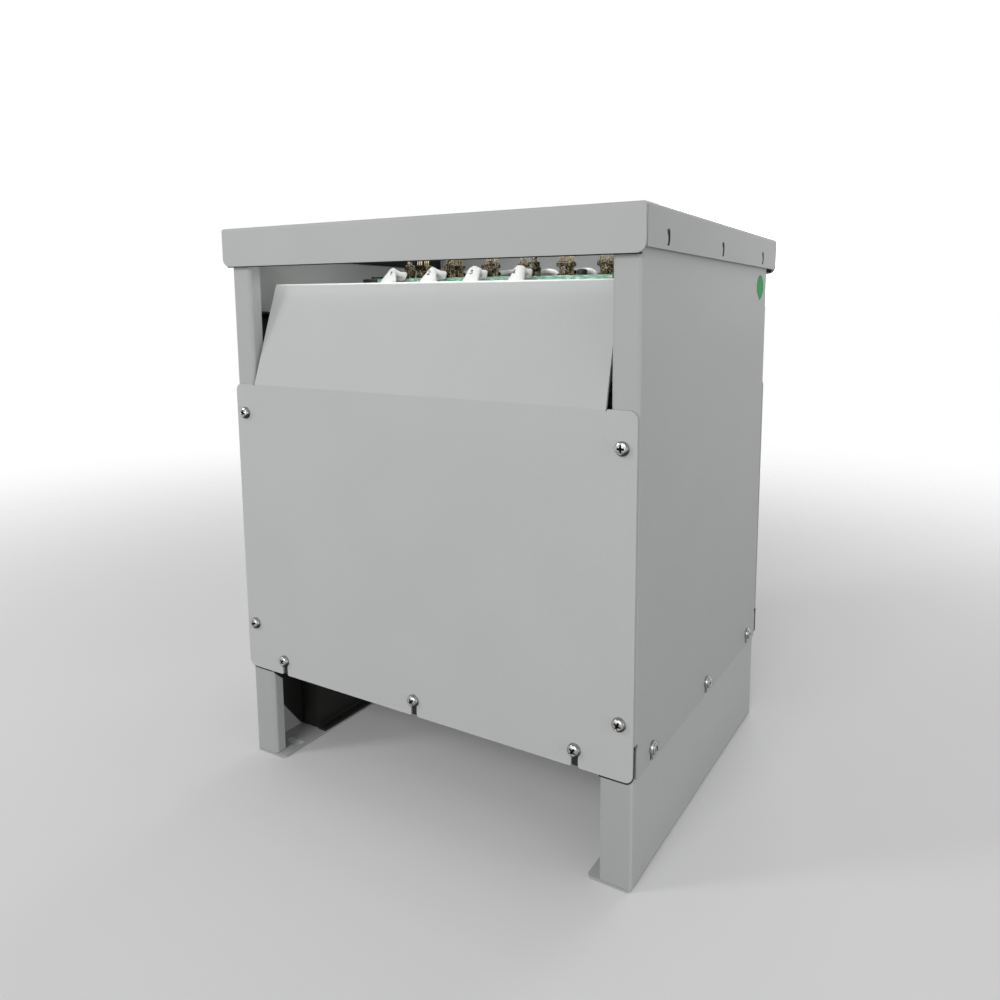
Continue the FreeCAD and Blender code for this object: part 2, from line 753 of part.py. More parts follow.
def make_mount_bolts():
    bolts = []
    length = clamp_sheet + pad_height + support_sheet + mount_nut_height + bolt_tail
    for x, y in support_corners():
        top = clamp_bottom + clamp_sheet
        head = hexagon(vec(x, y, top), vec(0, 0, 1), mount_head_flats, mount_head_height)
        bolts.append(head.fuse(rod(vec(x, y, top), vec(0, 0, -1), mount_bolt_radius, length)))
    return group(bolts)


def make_mount_nuts():
    nuts = []
    for x, y in support_corners():
        low = support_top - support_sheet - mount_nut_height
        nut = hexagon(vec(x, y, low), vec(0, 0, 1), mount_head_flats, mount_nut_height)
        hole = rod(vec(x, y, low - 1), vec(0, 0, 1), mount_bolt_radius + screw_fit, mount_nut_height + 2)
        nuts.append(nut.cut(hole))
    return group(nuts)


# Core: outline of the laminations with its two windows, stacked from front to back
def make_core():
    core = block(-core_half_width, core_half_width, -core_half_depth, core_half_depth, core_bottom, core_top)
    inner = centre_limb / 2
    for side in (-1, 1):
        x0, x1 = sorted((side * inner, side * (inner + window_width)))
        core = core.cut(block(x0, x1, -core_half_depth - 1, core_half_depth + 1, window_bottom, window_top))
    for x, z in clamp_bolt_places():
        hole = rod(vec(x, -core_half_depth - 1, z), vec(0, 1, 0), clamp_bore, stack_depth + 2)
        core = core.cut(hole)
    return core


def clamp_bolt_places():
    levels = (core_bottom + yoke_height / 2, core_top - yoke_height / 2)
    return [(x, z) for x in (-clamp_bolt_x, clamp_bolt_x) for z in levels]


def cut_clamp_holes(clamp):
    for x, z in clamp_bolt_places():
        clamp = clamp.cut(rod(vec(x, -clamp_outer - 1, z), vec(0, 1, 0), clamp_bore, clamp_sheet + 2))
    for x, y in support_corners():
        hole = rod(vec(x, y, clamp_bottom - 1), vec(0, 0, 1), mount_bore, clamp_sheet + 2)
        clamp = clamp.cut(hole)
    return clamp


def make_lower_clamp():
    reach = support_outer - clamp_end_gap
    side = [(-clamp_outer, clamp_bottom + clamp_height), (-clamp_outer, clamp_bottom),
            (-clamp_outer + clamp_leg, clamp_bottom)]
    clamp = folded_section(side, clamp_sheet, clamp_bend_inside, in_side).extrude(vec(2 * reach, 0, 0))
    clamp.translate(vec(-reach, 0, 0))
    return cut_clamp_holes(clamp)


def make_upper_clamp():
    side = [(-clamp_outer + clamp_leg, clamp_top), (-clamp_outer, clamp_top),
            (-clamp_outer, clamp_top - clamp_height)]
    clamp = folded_section(side, clamp_sheet, clamp_bend_inside, in_side)
    clamp = clamp.extrude(vec(2 * core_half_width, 0, 0))
    clamp.translate(vec(-core_half_width, 0, 0))
    return cut_clamp_holes(clamp)


def make_clamp_bolts():
    bolts = []
    length = 2 * (clamp_outer + clamp_washer) + clamp_nut_height + bolt_tail
    for x, z in clamp_bolt_places():
        face = -clamp_outer - clamp_washer
        head = hexagon(vec(x, face, z), vec(0, -1, 0), clamp_head_flats, clamp_head_height)
        bolts.append(head.fuse(rod(vec(x, face, z), vec(0, 1, 0), clamp_bolt_radius, length)))
    return group(bolts)


def make_clamp_nuts():
    nuts = []
    for x, z in clamp_bolt_places():
        face = clamp_outer + clamp_washer
        nut = hexagon(vec(x, face, z), vec(0, 1, 0), clamp_head_flats, clamp_nut_height)
        hole = rod(vec(x, face - 1, z), vec(0, 1, 0), clamp_bolt_radius + screw_fit, clamp_nut_height + 2)
        nuts.append(nut.cut(hole))
    return group(nuts)


def make_clamp_washers():
    washers = []
    for x, z in clamp_bolt_places():
        for end in (-1, 1):
            start = vec(x, end * clamp_outer, z)
            washer = rod(start, vec(0, end, 0), clamp_washer_radius, clamp_washer)
            hole = rod(vec(x, end * (clamp_outer - 1), z), vec(0, end, 0), clamp_bore, clamp_washer + 2)
            washers.append(washer.cut(hole))
    return group(washers)


# Coil: former, secondary, barrier, shield, barrier, primary and wrap, from the limb outwards
def layer_offset(name):
    """Distance from the core limb to the inside of a layer."""
    offset = former_clearance
    for layer, wall, low_gap, high_gap in coil_layers:
        if layer == name:
            return offset
        offset += wall + layer_gap


def layer_middle(name):
    wall = [layer[1] for layer in coil_layers if layer[0] == name][0]
    return core_half_depth + layer_offset(name) + wall / 2


def make_coil():
    made = {}
    for name, wall, low_gap, high_gap in coil_layers:
        offset = layer_offset(name)
        made[name] = ring_tube(centre_limb / 2 + offset, core_half_depth + offset,
                               former_corner + offset - former_clearance, wall,
                               window_bottom + low_gap, window_top - high_gap)
    return made


# Terminal board with holes for the studs and screws
def front_places():
    first = front_offset - front_pitch * (front_positions - 1) / 2
    return [first + k * front_pitch for k in range(front_positions)]


def back_places():
    first = back_offset - back_pitch * (back_positions - 1) / 2
    return [first + k * back_pitch for k in range(back_positions)]


def board_screw_places():
    levels = (board_screw_front_inset - bracket_leg, bracket_leg - board_screw_back_inset)
    return [(x, y) for x in (-bracket_centre, bracket_centre) for y in levels]


def make_board():
    board = block(-board_half, board_half, -board_depth / 2, board_depth / 2, board_under, board_top)
    for x in front_places():
        start = vec(x, front_row, board_under - 1)
        board = board.cut(rod(start, vec(0, 0, 1), stud_radius + stud_fit, board_thickness + 2))
    for x, y in board_screw_places():
        start = vec(x, y, board_under - 1)
        hole = rod(start, vec(0, 0, 1), board_screw_radius + board_screw_fit, board_thickness + 2)
        board = board.cut(hole)
    return board


def make_board_bracket():
    side = [(bracket_leg - bracket_foot, clamp_top), (bracket_leg, clamp_top), (bracket_leg, board_under),
            (-bracket_leg, board_under), (-bracket_leg, clamp_top), (-bracket_leg + bracket_foot, clamp_top)]
    bracket = folded_section(side, bracket_sheet, bracket_bend_inside, in_side)
    bracket = bracket.extrude(vec(bracket_width, 0, 0))
    bracket.translate(vec(bracket_centre - bracket_width / 2, 0, 0))
    for x, y in board_screw_places():
        start = vec(x, y, board_under - bracket_sheet - 1)
        hole = rod(start, vec(0, 0, 1), board_screw_radius, bracket_sheet + 2)
        bracket = bracket.cut(hole)
    return bracket


def make_board_screws():
    screws = []
    length = board_thickness + 2 * bracket_sheet
    for x, y in board_screw_places():
        head = rod(vec(x, y, board_top), vec(0, 0, 1), board_head_radius, board_head_height)
        shank = rod(vec(x, y, board_top), vec(0, 0, -1), board_screw_radius - screw_fit, length)
        screws.append(head.fuse(shank))
    return group(screws)


def stack_levels():
    """Levels of the front terminal stack, from the board up."""
    lug = board_top + base_nut_height
    washer = lug + lug_thickness
    nut = washer + top_washer
    return lug, washer, nut


def make_studs():
    low = board_under - under_nut_height - stud_tail
    high = board_top + stud_top
    return group([rod(vec(x, front_row, low), vec(0, 0, 1), stud_radius, high - low)
                  for x in front_places()[:front_lead_count]])


def make_nut(x, y, low, flats, height, bore):
    nut = hexagon(vec(x, y, low), vec(0, 0, 1), flats, height)
    return nut.cut(rod(vec(x, y, low - 1), vec(0, 0, 1), bore, height + 2))


def make_front_nuts():
    nuts = []
    lug, washer, nut = stack_levels()
    bore = stud_radius + screw_fit
    for x in front_places()[:front_lead_count]:
        low = board_under - under_nut_height
        nuts.append(make_nut(x, front_row, low, base_nut_flats, under_nut_height, bore))
        nuts.append(make_nut(x, front_row, board_top, base_nut_flats, base_nut_height, bore))
        nuts.append(make_nut(x, front_row, nut, top_nut_flats, top_nut_height, bore))
    return group(nuts)


def make_front_washers():
    lug, washer, nut = stack_levels()
    bore = stud_radius + screw_fit
    washers = []
    for x in front_places()[:front_lead_count]:
        disc = rod(vec(x, front_row, washer), vec(0, 0, 1), top_washer_radius, top_washer)
        washers.append(disc.cut(rod(vec(x, front_row, washer - 1), vec(0, 0, 1), bore, top_washer + 2)))
    return group(washers)


def make_front_lugs():
    lug, washer, nut = stack_levels()
    axis_level = board_top + front_run_level
    near = front_row - base_nut_flats / math.sqrt(3) - barrel_gap
    lugs = []
    for x in front_places()[:front_lead_count]:
        ring = rod(vec(x, front_row, lug), vec(0, 0, 1), lug_radius, lug_thickness)
        left, right = x - lug_barrel_radius, x + lug_barrel_radius
        neck = block(left, right, front_run_end, front_row, lug, lug + lug_thickness)
        start = vec(x, front_run_end, axis_level)
        barrel = rod(start, vec(0, 1, 0), lug_barrel_radius, near - front_run_end)
        body = ring.fuse([neck, barrel])
        hole = rod(vec(x, front_row, lug - 1), vec(0, 0, 1), stud_radius + screw_fit, lug_thickness + 2)
        lugs.append(body.cut(hole))
    return group(lugs)


def make_board_cap():
    x = front_places()[-1]
    cap = rod(vec(x, front_row, board_top), vec(0, 0, 1), cap_radius, cap_height)
    top = [e for e in cap.Edges if e.BoundBox.ZMin > board_top + cap_height - 0.01]
    cap = cap.makeChamfer(cap_edge, top)
    return cap.fuse(rod(vec(x, front_row, board_top), vec(0, 0, -1), stud_radius, board_thickness))


def lead_path(x, root_x, root_y, rise, level, end):
    """From the top of a winding, up and across to the terminal row, then level."""
    coil_top = window_top - winding_end_gap
    return [vec(root_x, root_y, coil_top), vec(root_x, root_y, coil_top + lead_lean_start),
            vec(x, rise, board_under - lead_lean_end), vec(x, rise, level), vec(x, end, level)]


def make_front_leads():
    level = board_top + front_run_level
    root_y = -layer_middle("secondary_winding")
    leads = []
    for x in front_places()[:front_lead_count]:
        root_x = (x - front_offset) / front_pitch * front_root_pitch
        path = lead_path(x, root_x, root_y, root_y, level, front_run_end)
        leads.append(bent_rod(path, front_bend, sleeve_radius))
    return group(leads)


def make_back_leads():
    level = board_top + back_run_level
    root_y = layer_middle("primary_winding")
    end = back_row + plate_gap / 2 + plate_thickness + plate_bolt_head + back_run_gap
    leads = []
    for x in back_places():
        root_x = (x - back_offset) / back_pitch * back_root_pitch
        path = lead_path(x, root_x, root_y, root_y - back_lead_lean, level, end)
        leads.append(bent_rod(path, back_bend, sleeve_radius))
    return group(leads)


# Back terminals: an angle and a plate that grip four wire ends, closed by one bolt
def plate_bolt_level():
    return board_top + plate_height / 2


def make_clamp_angles():
    angles = []
    face = back_row - plate_gap / 2
    for x in back_places():
        side = [(face - plate_foot, board_top), (face, board_top), (face, board_top + plate_height)]
        angle = folded_section(side, plate_thickness, plate_bend_inside, in_side)
        angle = angle.extrude(vec(plate_width, 0, 0))
        angle.translate(vec(x - plate_width / 2, 0, 0))
        hole = rod(vec(x, face + 1, plate_bolt_level()), vec(0, -1, 0), plate_bore, plate_thickness + 2)
        angles.append(angle.cut(hole))
    return group(angles)


def make_clamp_plates():
    plates = []
    face = back_row + plate_gap / 2
    for x in back_places():
        plate = block(x - plate_width / 2, x + plate_width / 2, face, face + plate_thickness,
                      board_top, board_top + plate_height)
        hole = rod(vec(x, face - 1, plate_bolt_level()), vec(0, 1, 0), plate_bore, plate_thickness + 2)
        plates.append(plate.cut(hole))
    return group(plates)


def make_plate_bolts():
    bolts = []
    grip = plate_gap / 2 + plate_thickness
    for x in back_places():
        level = plate_bolt_level()
        head = hexagon(vec(x, back_row - grip, level), vec(0, -1, 0), plate_bolt_flats, plate_bolt_head)
        start = vec(x, back_row - grip, level)
        shank = rod(start, vec(0, 1, 0), plate_bolt_radius, 2 * grip + plate_bolt_head)
        bolts.append(head.fuse(shank))
    return group(bolts)


def make_plate_nuts():
    nuts = []
    grip = plate_gap / 2 + plate_thickness
    for x in back_places():
        level = plate_bolt_level()
        nut = hexagon(vec(x, back_row + grip, level), vec(0, 1, 0), plate_bolt_flats, plate_bolt_head)
        hole = rod(vec(x, back_row + grip - 1, level), vec(0, 1, 0), plate_bore, plate_bolt_head + 2)
        nuts.append(nut.cut(hole))
    return group(nuts)


def make_wire_ends():
    wires = []
    half = wire_count // 2
    for x in back_places():
        for k in range(wire_count):
            side = -1 if k < half else 1
            step = k - half if side > 0 else half - 1 - k
            first = plate_bore + wire_radius
            place = x + side * (first + step * (2 * wire_radius + screw_fit))
            wires.append(rod(vec(place, back_row, board_top), vec(0, 0, 1), wire_radius, wire_top))
    return group(wires)


def build():
    panel = make_side_panel()
    cover = make_panel_cover()
    cover_screws = make_cover_screws()
    side_screws = make_side_screws()
    base = make_base()
    rail = make_rail()
    support = make_core_support()
    lower = make_lower_clamp()
    upper = make_upper_clamp()
    bracket = make_board_bracket()
    nodes = {
        "top_cover": make_top_cover(),
        "right_side_panel": panel,
        "left_side_panel": make_left_panel(),
        "lid_seals": make_seals(),
        "cable_entry_plug": make_entry_plug(),
        "front_cover": cover,
        "back_cover": mirror_y(cover),
        "front_cover_screws": cover_screws,
        "back_cover_screws": mirror_y(cover_screws),
        "right_side_screws": side_screws,
        "left_side_screws": mirror_x(side_screws),
        "right_base": base,
        "left_base": mirror_x(base),
        "front_base_rail": rail,
        "back_base_rail": mirror_y(rail),
        "right_core_support": support,
        "left_core_support": mirror_x(support),
        "vibration_pads": make_pads(),
        "core_mount_bolts": make_mount_bolts(),
        "core_mount_nuts": make_mount_nuts(),
        "laminated_core": make_core(),
        "lower_front_clamp": lower,
        "lower_back_clamp": mirror_y(lower),
        "upper_front_clamp": upper,
        "upper_back_clamp": mirror_y(upper),
        "core_clamp_bolts": make_clamp_bolts(),
        "core_clamp_nuts": make_clamp_nuts(),
        "core_clamp_washers": make_clamp_washers(),
        "terminal_board": make_board(),
        "right_board_bracket": bracket,
        "left_board_bracket": mirror_x(bracket),
        "board_screws": make_board_screws(),
        "board_cap": make_board_cap(),
        "front_terminal_studs": make_studs(),
        "front_terminal_nuts": make_front_nuts(),
        "front_terminal_washers": make_front_washers(),
        "front_lead_lugs": make_front_lugs(),
        "front_sleeved_leads": make_front_leads(),
        "back_terminal_angles": make_clamp_angles(),
        "back_terminal_plates": make_clamp_plates(),
        "back_terminal_bolts": make_plate_bolts(),
        "back_terminal_nuts": make_plate_nuts(),
        "back_wire_ends": make_wire_ends(),
        "back_sleeved_leads": make_back_leads(),
    }
    nodes.update(make_coil())
    return nodes


os.makedirs("parts", exist_ok=True)
for name, shape in build().items():
    shape.exportStep("parts/" + name + ".step")
    print(name, len(shape.Solids), round(shape.Volume), shape.isValid())
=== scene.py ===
"""Looks of a ventilated isolation transformer in a folded sheet enclosure. Metres, Z up."""
import math

import bmesh
import bpy
import numpy as np
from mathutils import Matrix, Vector


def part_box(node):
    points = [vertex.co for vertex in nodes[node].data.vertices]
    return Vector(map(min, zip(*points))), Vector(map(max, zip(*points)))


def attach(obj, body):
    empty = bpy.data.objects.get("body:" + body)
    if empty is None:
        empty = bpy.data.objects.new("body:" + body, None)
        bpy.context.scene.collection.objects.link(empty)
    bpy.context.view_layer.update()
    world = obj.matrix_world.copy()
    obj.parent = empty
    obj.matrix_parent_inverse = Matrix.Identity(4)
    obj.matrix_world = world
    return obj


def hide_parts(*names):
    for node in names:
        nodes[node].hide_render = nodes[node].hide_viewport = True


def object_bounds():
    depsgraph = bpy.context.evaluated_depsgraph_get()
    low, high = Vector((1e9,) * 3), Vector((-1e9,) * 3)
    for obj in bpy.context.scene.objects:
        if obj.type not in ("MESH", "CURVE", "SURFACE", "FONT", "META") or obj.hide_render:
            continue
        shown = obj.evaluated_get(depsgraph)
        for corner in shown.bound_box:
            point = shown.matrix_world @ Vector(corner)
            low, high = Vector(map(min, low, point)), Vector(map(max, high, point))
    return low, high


MM = 0.001

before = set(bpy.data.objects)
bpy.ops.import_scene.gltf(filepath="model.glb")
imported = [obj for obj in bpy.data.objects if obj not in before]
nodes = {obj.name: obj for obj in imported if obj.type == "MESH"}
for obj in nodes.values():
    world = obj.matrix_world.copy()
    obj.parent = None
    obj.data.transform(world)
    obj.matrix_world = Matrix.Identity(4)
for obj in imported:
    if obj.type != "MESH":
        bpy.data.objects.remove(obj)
cad_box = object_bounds()

# Camera, placed where the photograph was taken from
camera_place = (0.45662, -0.69746, 0.4654)
camera_yaw = math.radians(-28.72)
camera_pitch = math.radians(7.49)
camera_roll = math.radians(0.25)
camera_lens = 28.326
camera_shift = (-0.075, -0.085)

# Lamps: name, place, point that it looks at, width and height, power, and whether the camera sees it
part_middle = (0, 0, 0.27)
lamps = (
    ("main_lamp", (0.4, -3.95, 2.15), part_middle, (2.4, 1.8), 70, True),
    ("left_lamp", (-2.0, -1.85, 1.54), part_middle, (0.5, 0.5), 16, True),
    ("low_lamp", (-0.2, -2.1, 0.3), (0, 0, 0.4), (2.0, 0.5), 6.5, True),
    ("right_lamp", (3.6, -0.8, 0.4), part_middle, (2.4, 1.5), 32.5, True),
    ("back_lamp", (0.2, 2.4, 1.4), part_middle, (2.4, 2.0), 22, True),
    ("terminal_lamp", (0.0, -0.118, 0.478), (0.0, 0.0, 0.535), (0.34, 0.02), 0.10, False),
    ("lid_lamp", (0.0, -0.045, 0.5385), (0.0, -0.045, 0.4), (0.30, 0.18), 0.15, False),
    ("rear_inner_lamp", (0.0, 0.07, 0.533), (0.0, 0.18, 0.51), (0.36, 0.02), 0.12, False),
    ("left_inner_lamp", (-0.13, -0.02, 0.531), (-0.22, -0.02, 0.50), (0.25, 0.02), 0.015, False),
    ("edge_lamp", (0.0, -0.1435, 0.5005), (0.0, -0.141, 0.4905), (0.385, 0.004), 0.03, False),
)

# World and floor: what each sends to the object, and what is seen of it
world_strengths = (0.35, 1.0)
floor_tones = (0.40, 0.80)
floor_half = 12.0
floor_drop = 0.4 * MM
floor_fade = (0.55, 2.2)

# Finishes, as linear colours. A front painted shade darkens the colour of the faces of a piece that look to
# the front, as painted shade.
coat_grey = (0.430, 0.442, 0.436)
# A paler grey on the baffles' folded edges, as a painted highlight
edge_highlight_grey = (0.78, 0.79, 0.785)
base_grey = (0.475, 0.488, 0.483)
# Painted shade on the front faces of the legs and of the panels' posts
leg_front_painted_shade = 0.72
post_front_painted_shade = 0.88
coat_specular = 0.25
support_black = (0.016, 0.016, 0.015)
plug_black = (0.022, 0.022, 0.022)
zinc_bright = (0.46, 0.46, 0.45)
zinc_dull = (0.20, 0.20, 0.19)
steel_grey = (0.42, 0.42, 0.41)
steel_dull = (0.22, 0.20, 0.18)
board_mint = (0.20, 0.43, 0.30)
board_fibre = (0.66, 0.78, 0.71)
bronze_dark = (0.27, 0.215, 0.150)
bronze_black = (0.030, 0.022, 0.015)
bronze_turned = (0.60, 0.53, 0.40)
bronze_dull = (0.07, 0.05, 0.032)
wire_gold = (0.97, 0.86, 0.63)
wire_dull = (0.42, 0.26, 0.10)
sleeve_white = (0.86, 0.86, 0.85)
core_grey = (0.055, 0.052, 0.050)
clamp_black = (0.030, 0.030, 0.032)
copper_varnish = (0.26, 0.10, 0.035)
paper_tan = (0.42, 0.30, 0.16)
copper_foil = (0.60, 0.28, 0.14)
foil_dull = (0.35, 0.16, 0.08)
rubber_black = (0.018, 0.018, 0.018)
# Black of the linings that stand in for shadow in narrow gaps, and of the lid's seals
shadow_lining_black = (0.012, 0.012, 0.013)
sticker_green = (0.022, 0.28, 0.080)
ink_black = (0.02, 0.02, 0.02)

# Sizes of the patterns in the finishes
peel_size = 1.1 * MM
grain_size = 0.8 * MM
coat_tone_size = 90 * MM
tarnish_size = 2.6 * MM
scratch_size = 1.4 * MM
scratch_stretch = (1, 1, 12)
layer_patch_size = 18 * MM
sleeve_lump_size = 5 * MM
fibre_size = 1.6 * MM
fibre_stretch = (0.25, 0.25, 2.5)
resin_size = 16 * MM

# Spots on the bronze, painted darker and brighter to stand in for shade and glints: their size, the range of
# the noise, and how dark and how bright they are
spot_size = 1.5 * MM
spot_ramp = (0.43, 0.60, 0.17, 2.0)

# Screw heads: shares of the radius and of the height, up the rim and over the crown
front_head_height = 4.6 * MM
side_head_height = 5.4 * MM
head_seed = 7
head_turns = 96
head_rim = ((1, 0), (1, 0.38), (0.985, 0.45), (0.95, 0.58), (0.90, 0.70))
crown_edge = 0.86
crown_rows = 40
crown_fall = 0.24
crown_power = 2.4

# Cross recess, as shares of the radius and of the height. Its arms narrow outwards, and its floor rises
# towards their ends.
recess_arm = 0.56
recess_width = 0.27
recess_taper = (1.2, 0.5)
recess_depth = 0.42
recess_rise = (1.5, 0.8)
recess_edge = 0.05

# Painted shade on a head: the recess, a groove at the shoulder, and the rim away from the light
recess_painted_shade = 1.1
groove_share = 0.91
groove_width = 0.035
groove_painted_shade = 0.85
shade_way = (0.75, 0.75, -1.0)
shade_start = 0.50
shade_run = 0.25
rim_painted_shade = 0.9

# Nuts, bolts and studs
hex_turns = 48
chamfer_share = 0.96
chamfer_slope = math.tan(math.radians(30))
bore_chamfer = 0.15
# Painted shade in the nuts' bores
bore_painted_shade = 0.8
stud_bore = 3.1 * MM
plate_bore = 1.7 * MM
plate_shank = 1.6 * MM
plate_head = 3.0 * MM
thread_pitch = 1.0 * MM
thread_rows = 6
thread_depth = 0.55 * MM
# Painted shade in the thread valleys of the studs
thread_painted_shade = 0.8
thread_turns = 24
stud_end = 0.8 * MM
stud_taper = 0.8

# Clamps of the back terminals: levels over the board, half widths and how far they stand forward
clamp_seed = 5
clamp_spread = (0.97, 1.0)
clamp_sheet = 3.0 * MM
clamp_corner = 0.22
clamp_turns = 48
clamp_rows = 40
foot_rows = 6
clamp_levels = np.array([0, 5.6, 6.6, 12.6, 13.6, 17.4, 19.0]) * MM
clamp_half_widths = np.array([9.0, 9.0, 6.4, 6.4, 9.5, 9.5, 7.6]) * MM
clamp_bulges = np.array([1.2, 1.2, 0.0, 0.0, 1.6, 1.6, 0.6]) * MM

# Strands of the winding wires that stand up from the back terminals
strand_seed = 11
strand_rows = 10
strand_turns = 14
strand_radius = 0.55 * MM
strand_places = ((-1.15 * MM, -0.6 * MM), (1.15 * MM, -0.6 * MM), (0.0, 1.0 * MM))
strand_tip = (0.93, 0.6)
strand_drop = 1.8 * MM
strand_lean = 0.35 * MM

# Sleeves. The wall turns back inside at the open end, over one seventh of the path's points.
sleeve_radius = 6.3 * MM
sleeve_wall = 0.8 * MM
sleeve_sides = 44
sleeve_mouth = 7
braid_pitch = 1.5 * MM
swell_share = 0.035
swell_runs = (6.0 * MM, 3.7 * MM, 2.3 * MM)
crease_reach = 7.0 * MM
crease_run = 0.75 * MM
crease_wander = 1.7

# Leads: steps of each curve, the rise from the coil, and how far under the board the lean outwards starts
# and ends
curve_steps = 24
coil_rise = 20.0 * MM
lean_drop = 40.0 * MM
under_board = 10.0 * MM

# Front leads: a riser that goes up and leans back a little, a fold whose points lie before, at and behind
# its crest by parts of its softness, and an end at the terminal
front_rows = 120
front_inset = 6.5 * MM
front_crease = 0.22 * MM
riser_level = 492 * MM
riser_run = 4.0 * MM
riser_lean = 0.4 * MM
riser_wide = 6.8 * MM
riser_thick = 5.5 * MM
flat_thick = 4.0 * MM
fold_back = 8.7 * MM
fold_level = 504.6 * MM
fold_lift = 0.9 * MM
fold_gap = 0.5 * MM
fold_before = (0.6, 0.9)
fold_rise = 0.25
fold_thick = 4.5 * MM
before_fold = (60 * MM, 28 * MM, 12 * MM)
behind_fold = 6.0 * MM
behind_share = 0.9
behind_thick = 3.0 * MM
end_level = 500.9 * MM
end_thick = 5.4 * MM
riser_powers = (2.0, 2.0, 2.2)
end_powers = (2.6, 3.4)
# Half width of the riser, half width and section power of the fold, its softness, half width of the
# end, and how much lower the fold is than that of the first lead
front_folds = ((9.6, 4.0, 1.2, 0.5, 9.0, 0.0), (10.0, 4.6, 1.3, 0.8, 9.2, 0.5),
               (8.9, 6.4, 1.9, 2.8, 7.2, 1.2), (8.5, 5.2, 2.0, 3.0, 6.6, 1.5))

# Back leads. The flat run says how far before the end it starts, and over what length it flattens.
back_rows = 90
back_seed = 20
back_crease = 0.2 * MM
back_inset = 7.0 * MM
back_over_board = 12.0 * MM
back_bend = 2.0 * MM
back_arch = 1.5 * MM
back_run_drop = 2.7 * MM
back_half_width = 7.4 * MM
back_half_thick = 3.3 * MM
back_power = 0.4
back_flat_run = (52.0 * MM, 26.0 * MM)

# Numbers on the front sleeves, as corners of each figure's line in a unit square
digit_width = 3.2 * MM
digit_height = 4.6 * MM
digit_below_fold = 1.6
digit_stroke = 0.42 * MM
digit_flatness = 0.6
digit_lift = 0.05 * MM
digit_rows = 28
digit_sides = 10
digit_shifts = (2.8 * MM, 0.6 * MM, 0.6 * MM, -2.6 * MM)
digits = (((0.15, 0.75), (0.55, 1.0), (0.55, 0.0)),
          ((0.05, 0.78), (0.25, 0.97), (0.7, 0.97), (0.92, 0.75), (0.8, 0.52), (0.05, 0.0), (0.98, 0.0)),
          ((0.08, 0.97), (0.92, 0.97), (0.45, 0.58), (0.88, 0.42), (0.85, 0.12), (0.45, 0.0), (0.05, 0.12)),
          ((0.72, 0.0), (0.72, 1.0), (0.0, 0.32), (1.0, 0.32)))

# Folded edges of the baffles, in a paler coat as a painted highlight
baffle_edge_half = 190.6 * MM
baffle_edge_inset = 30.0 * MM
baffle_edge_drop = 0.2 * MM
baffle_edge_radius = 1.25 * MM
edge_rows = 8

# Lid: painted shade on its front, and darker painted shade on its sides. Depths under the side face give
# where the sides' painted shade starts and where the painted shadow of the slots stops.
lid_painted_shade = 0.94
lid_side_painted_shade = 0.84
lid_face = (0.4 * MM, 0.2 * MM)
flange_depth = (2.5 * MM, 2.3 * MM)

# Crescent slots of the lid's side flanges, whose arcs are part of a circle. An eye is a round place in a
# slot, given by its place along, its place up and its radius.
nib_below_top = 23.0 * MM
nib_spacing = 130.0 * MM
nib_half_height = 5.6 * MM
nib_radius = 10.0 * MM
nib_half_width = 1.35 * MM
nib_eye = (-0.9 * MM, 3.95 * MM, 1.75 * MM)
nib_rows = 30

# Painted shadow in and round the slots: half widths at the foot and the top, where the arc starts in parts
# of its radius, soft edges, and how far it goes past the eye
nib_painted_shadow = (1.7 * MM, 2.7 * MM)
nib_arc = (-0.6, -0.5)
nib_soft = 0.2 * MM
nib_end_soft = 0.4 * MM
eye_painted_shadow = (1.2 * MM, 1.5 * MM)
# How much of the lid's colour is left under the painted shadow of the slots
slot_shadow_tone = 0.03

# Dark linings of the lid's gaps, which stand in for shadow: insets from its faces, drops from its top or its
# lower edge, how far the ends stay back, and half sizes
bar_sides = 24
lining_inset = 1.2 * MM
nib_lining_half = 0.75 * MM
seam_inset = 2.5 * MM
seam_ends = (5.0 * MM, 3.0 * MM)
seam_halves = (0.42 * MM, 0.7 * MM)
rear_lining_inset = 2.6 * MM
rear_lining_drop = 19.0 * MM
rear_lining_ends = (3.0 * MM, 4.0 * MM)
rear_lining_halves = (0.5 * MM, 16.0 * MM)
rear_lining_power = 12.0
front_lining_inset = 2.4 * MM
front_lining_drop = 0.2 * MM
front_lining_end = 4.0 * MM
front_lining_halves = (0.35 * MM, 0.6 * MM)

# Joint between a cover and the legs and panels, round the cover's lower corners, whose dark lining stands in
# for the shadow there. Its lining widens downwards by the drop, and the dot fills the corner relief over the
# panel's tongue.
leg_width = 30.5 * MM
cover_corner = 7.0 * MM
corner_rows = 12
tongue_top = 125.0 * MM
tongue_gap = 2.0 * MM
joint_drop = 1.75 * MM
joint_out = 0.25 * MM
joint_past = 0.3 * MM
joint_half = 0.3 * MM
joint_heights = (0.8 * MM, 0.4 * MM)
joint_power = 4.0
relief_half = 0.8 * MM
relief_run = 1.4 * MM
relief_past = 0.1 * MM
relief_in = 0.6 * MM

# Open slots of the lower screws in the covers and the side panels, whose dark linings stand in for shadow
slot_x = 168.4 * MM
side_slot_y = 133.0 * MM
slot_half = 3.2 * MM
slot_start = 0.4 * MM
slot_run = 9.5 * MM
slot_lift = 0.17 * MM
slot_thick = 0.15 * MM
side_slot_in = 1.85 * MM
side_slot_thick = 0.13 * MM

# Pads on the front corners of the terminal board
corner_pad = 20.0 * MM
pad_lift = 0.3 * MM
pad_power = 14.0

# Sticker on the right panel. The shoulder and waist are shares of its half height, where the top starts
# to round off and where the point starts, and the other two are powers.
sticker_half_width = 11.8 * MM
sticker_half_height = 13.3 * MM
sticker_from_back = 26.4 * MM
sticker_level = 491.5 * MM
sticker_lift = 0.25 * MM
sticker_rows = 40
sticker_shoulder = 0.1
sticker_roundness = 0.6
sticker_waist = 0.2
sticker_point = 1.5


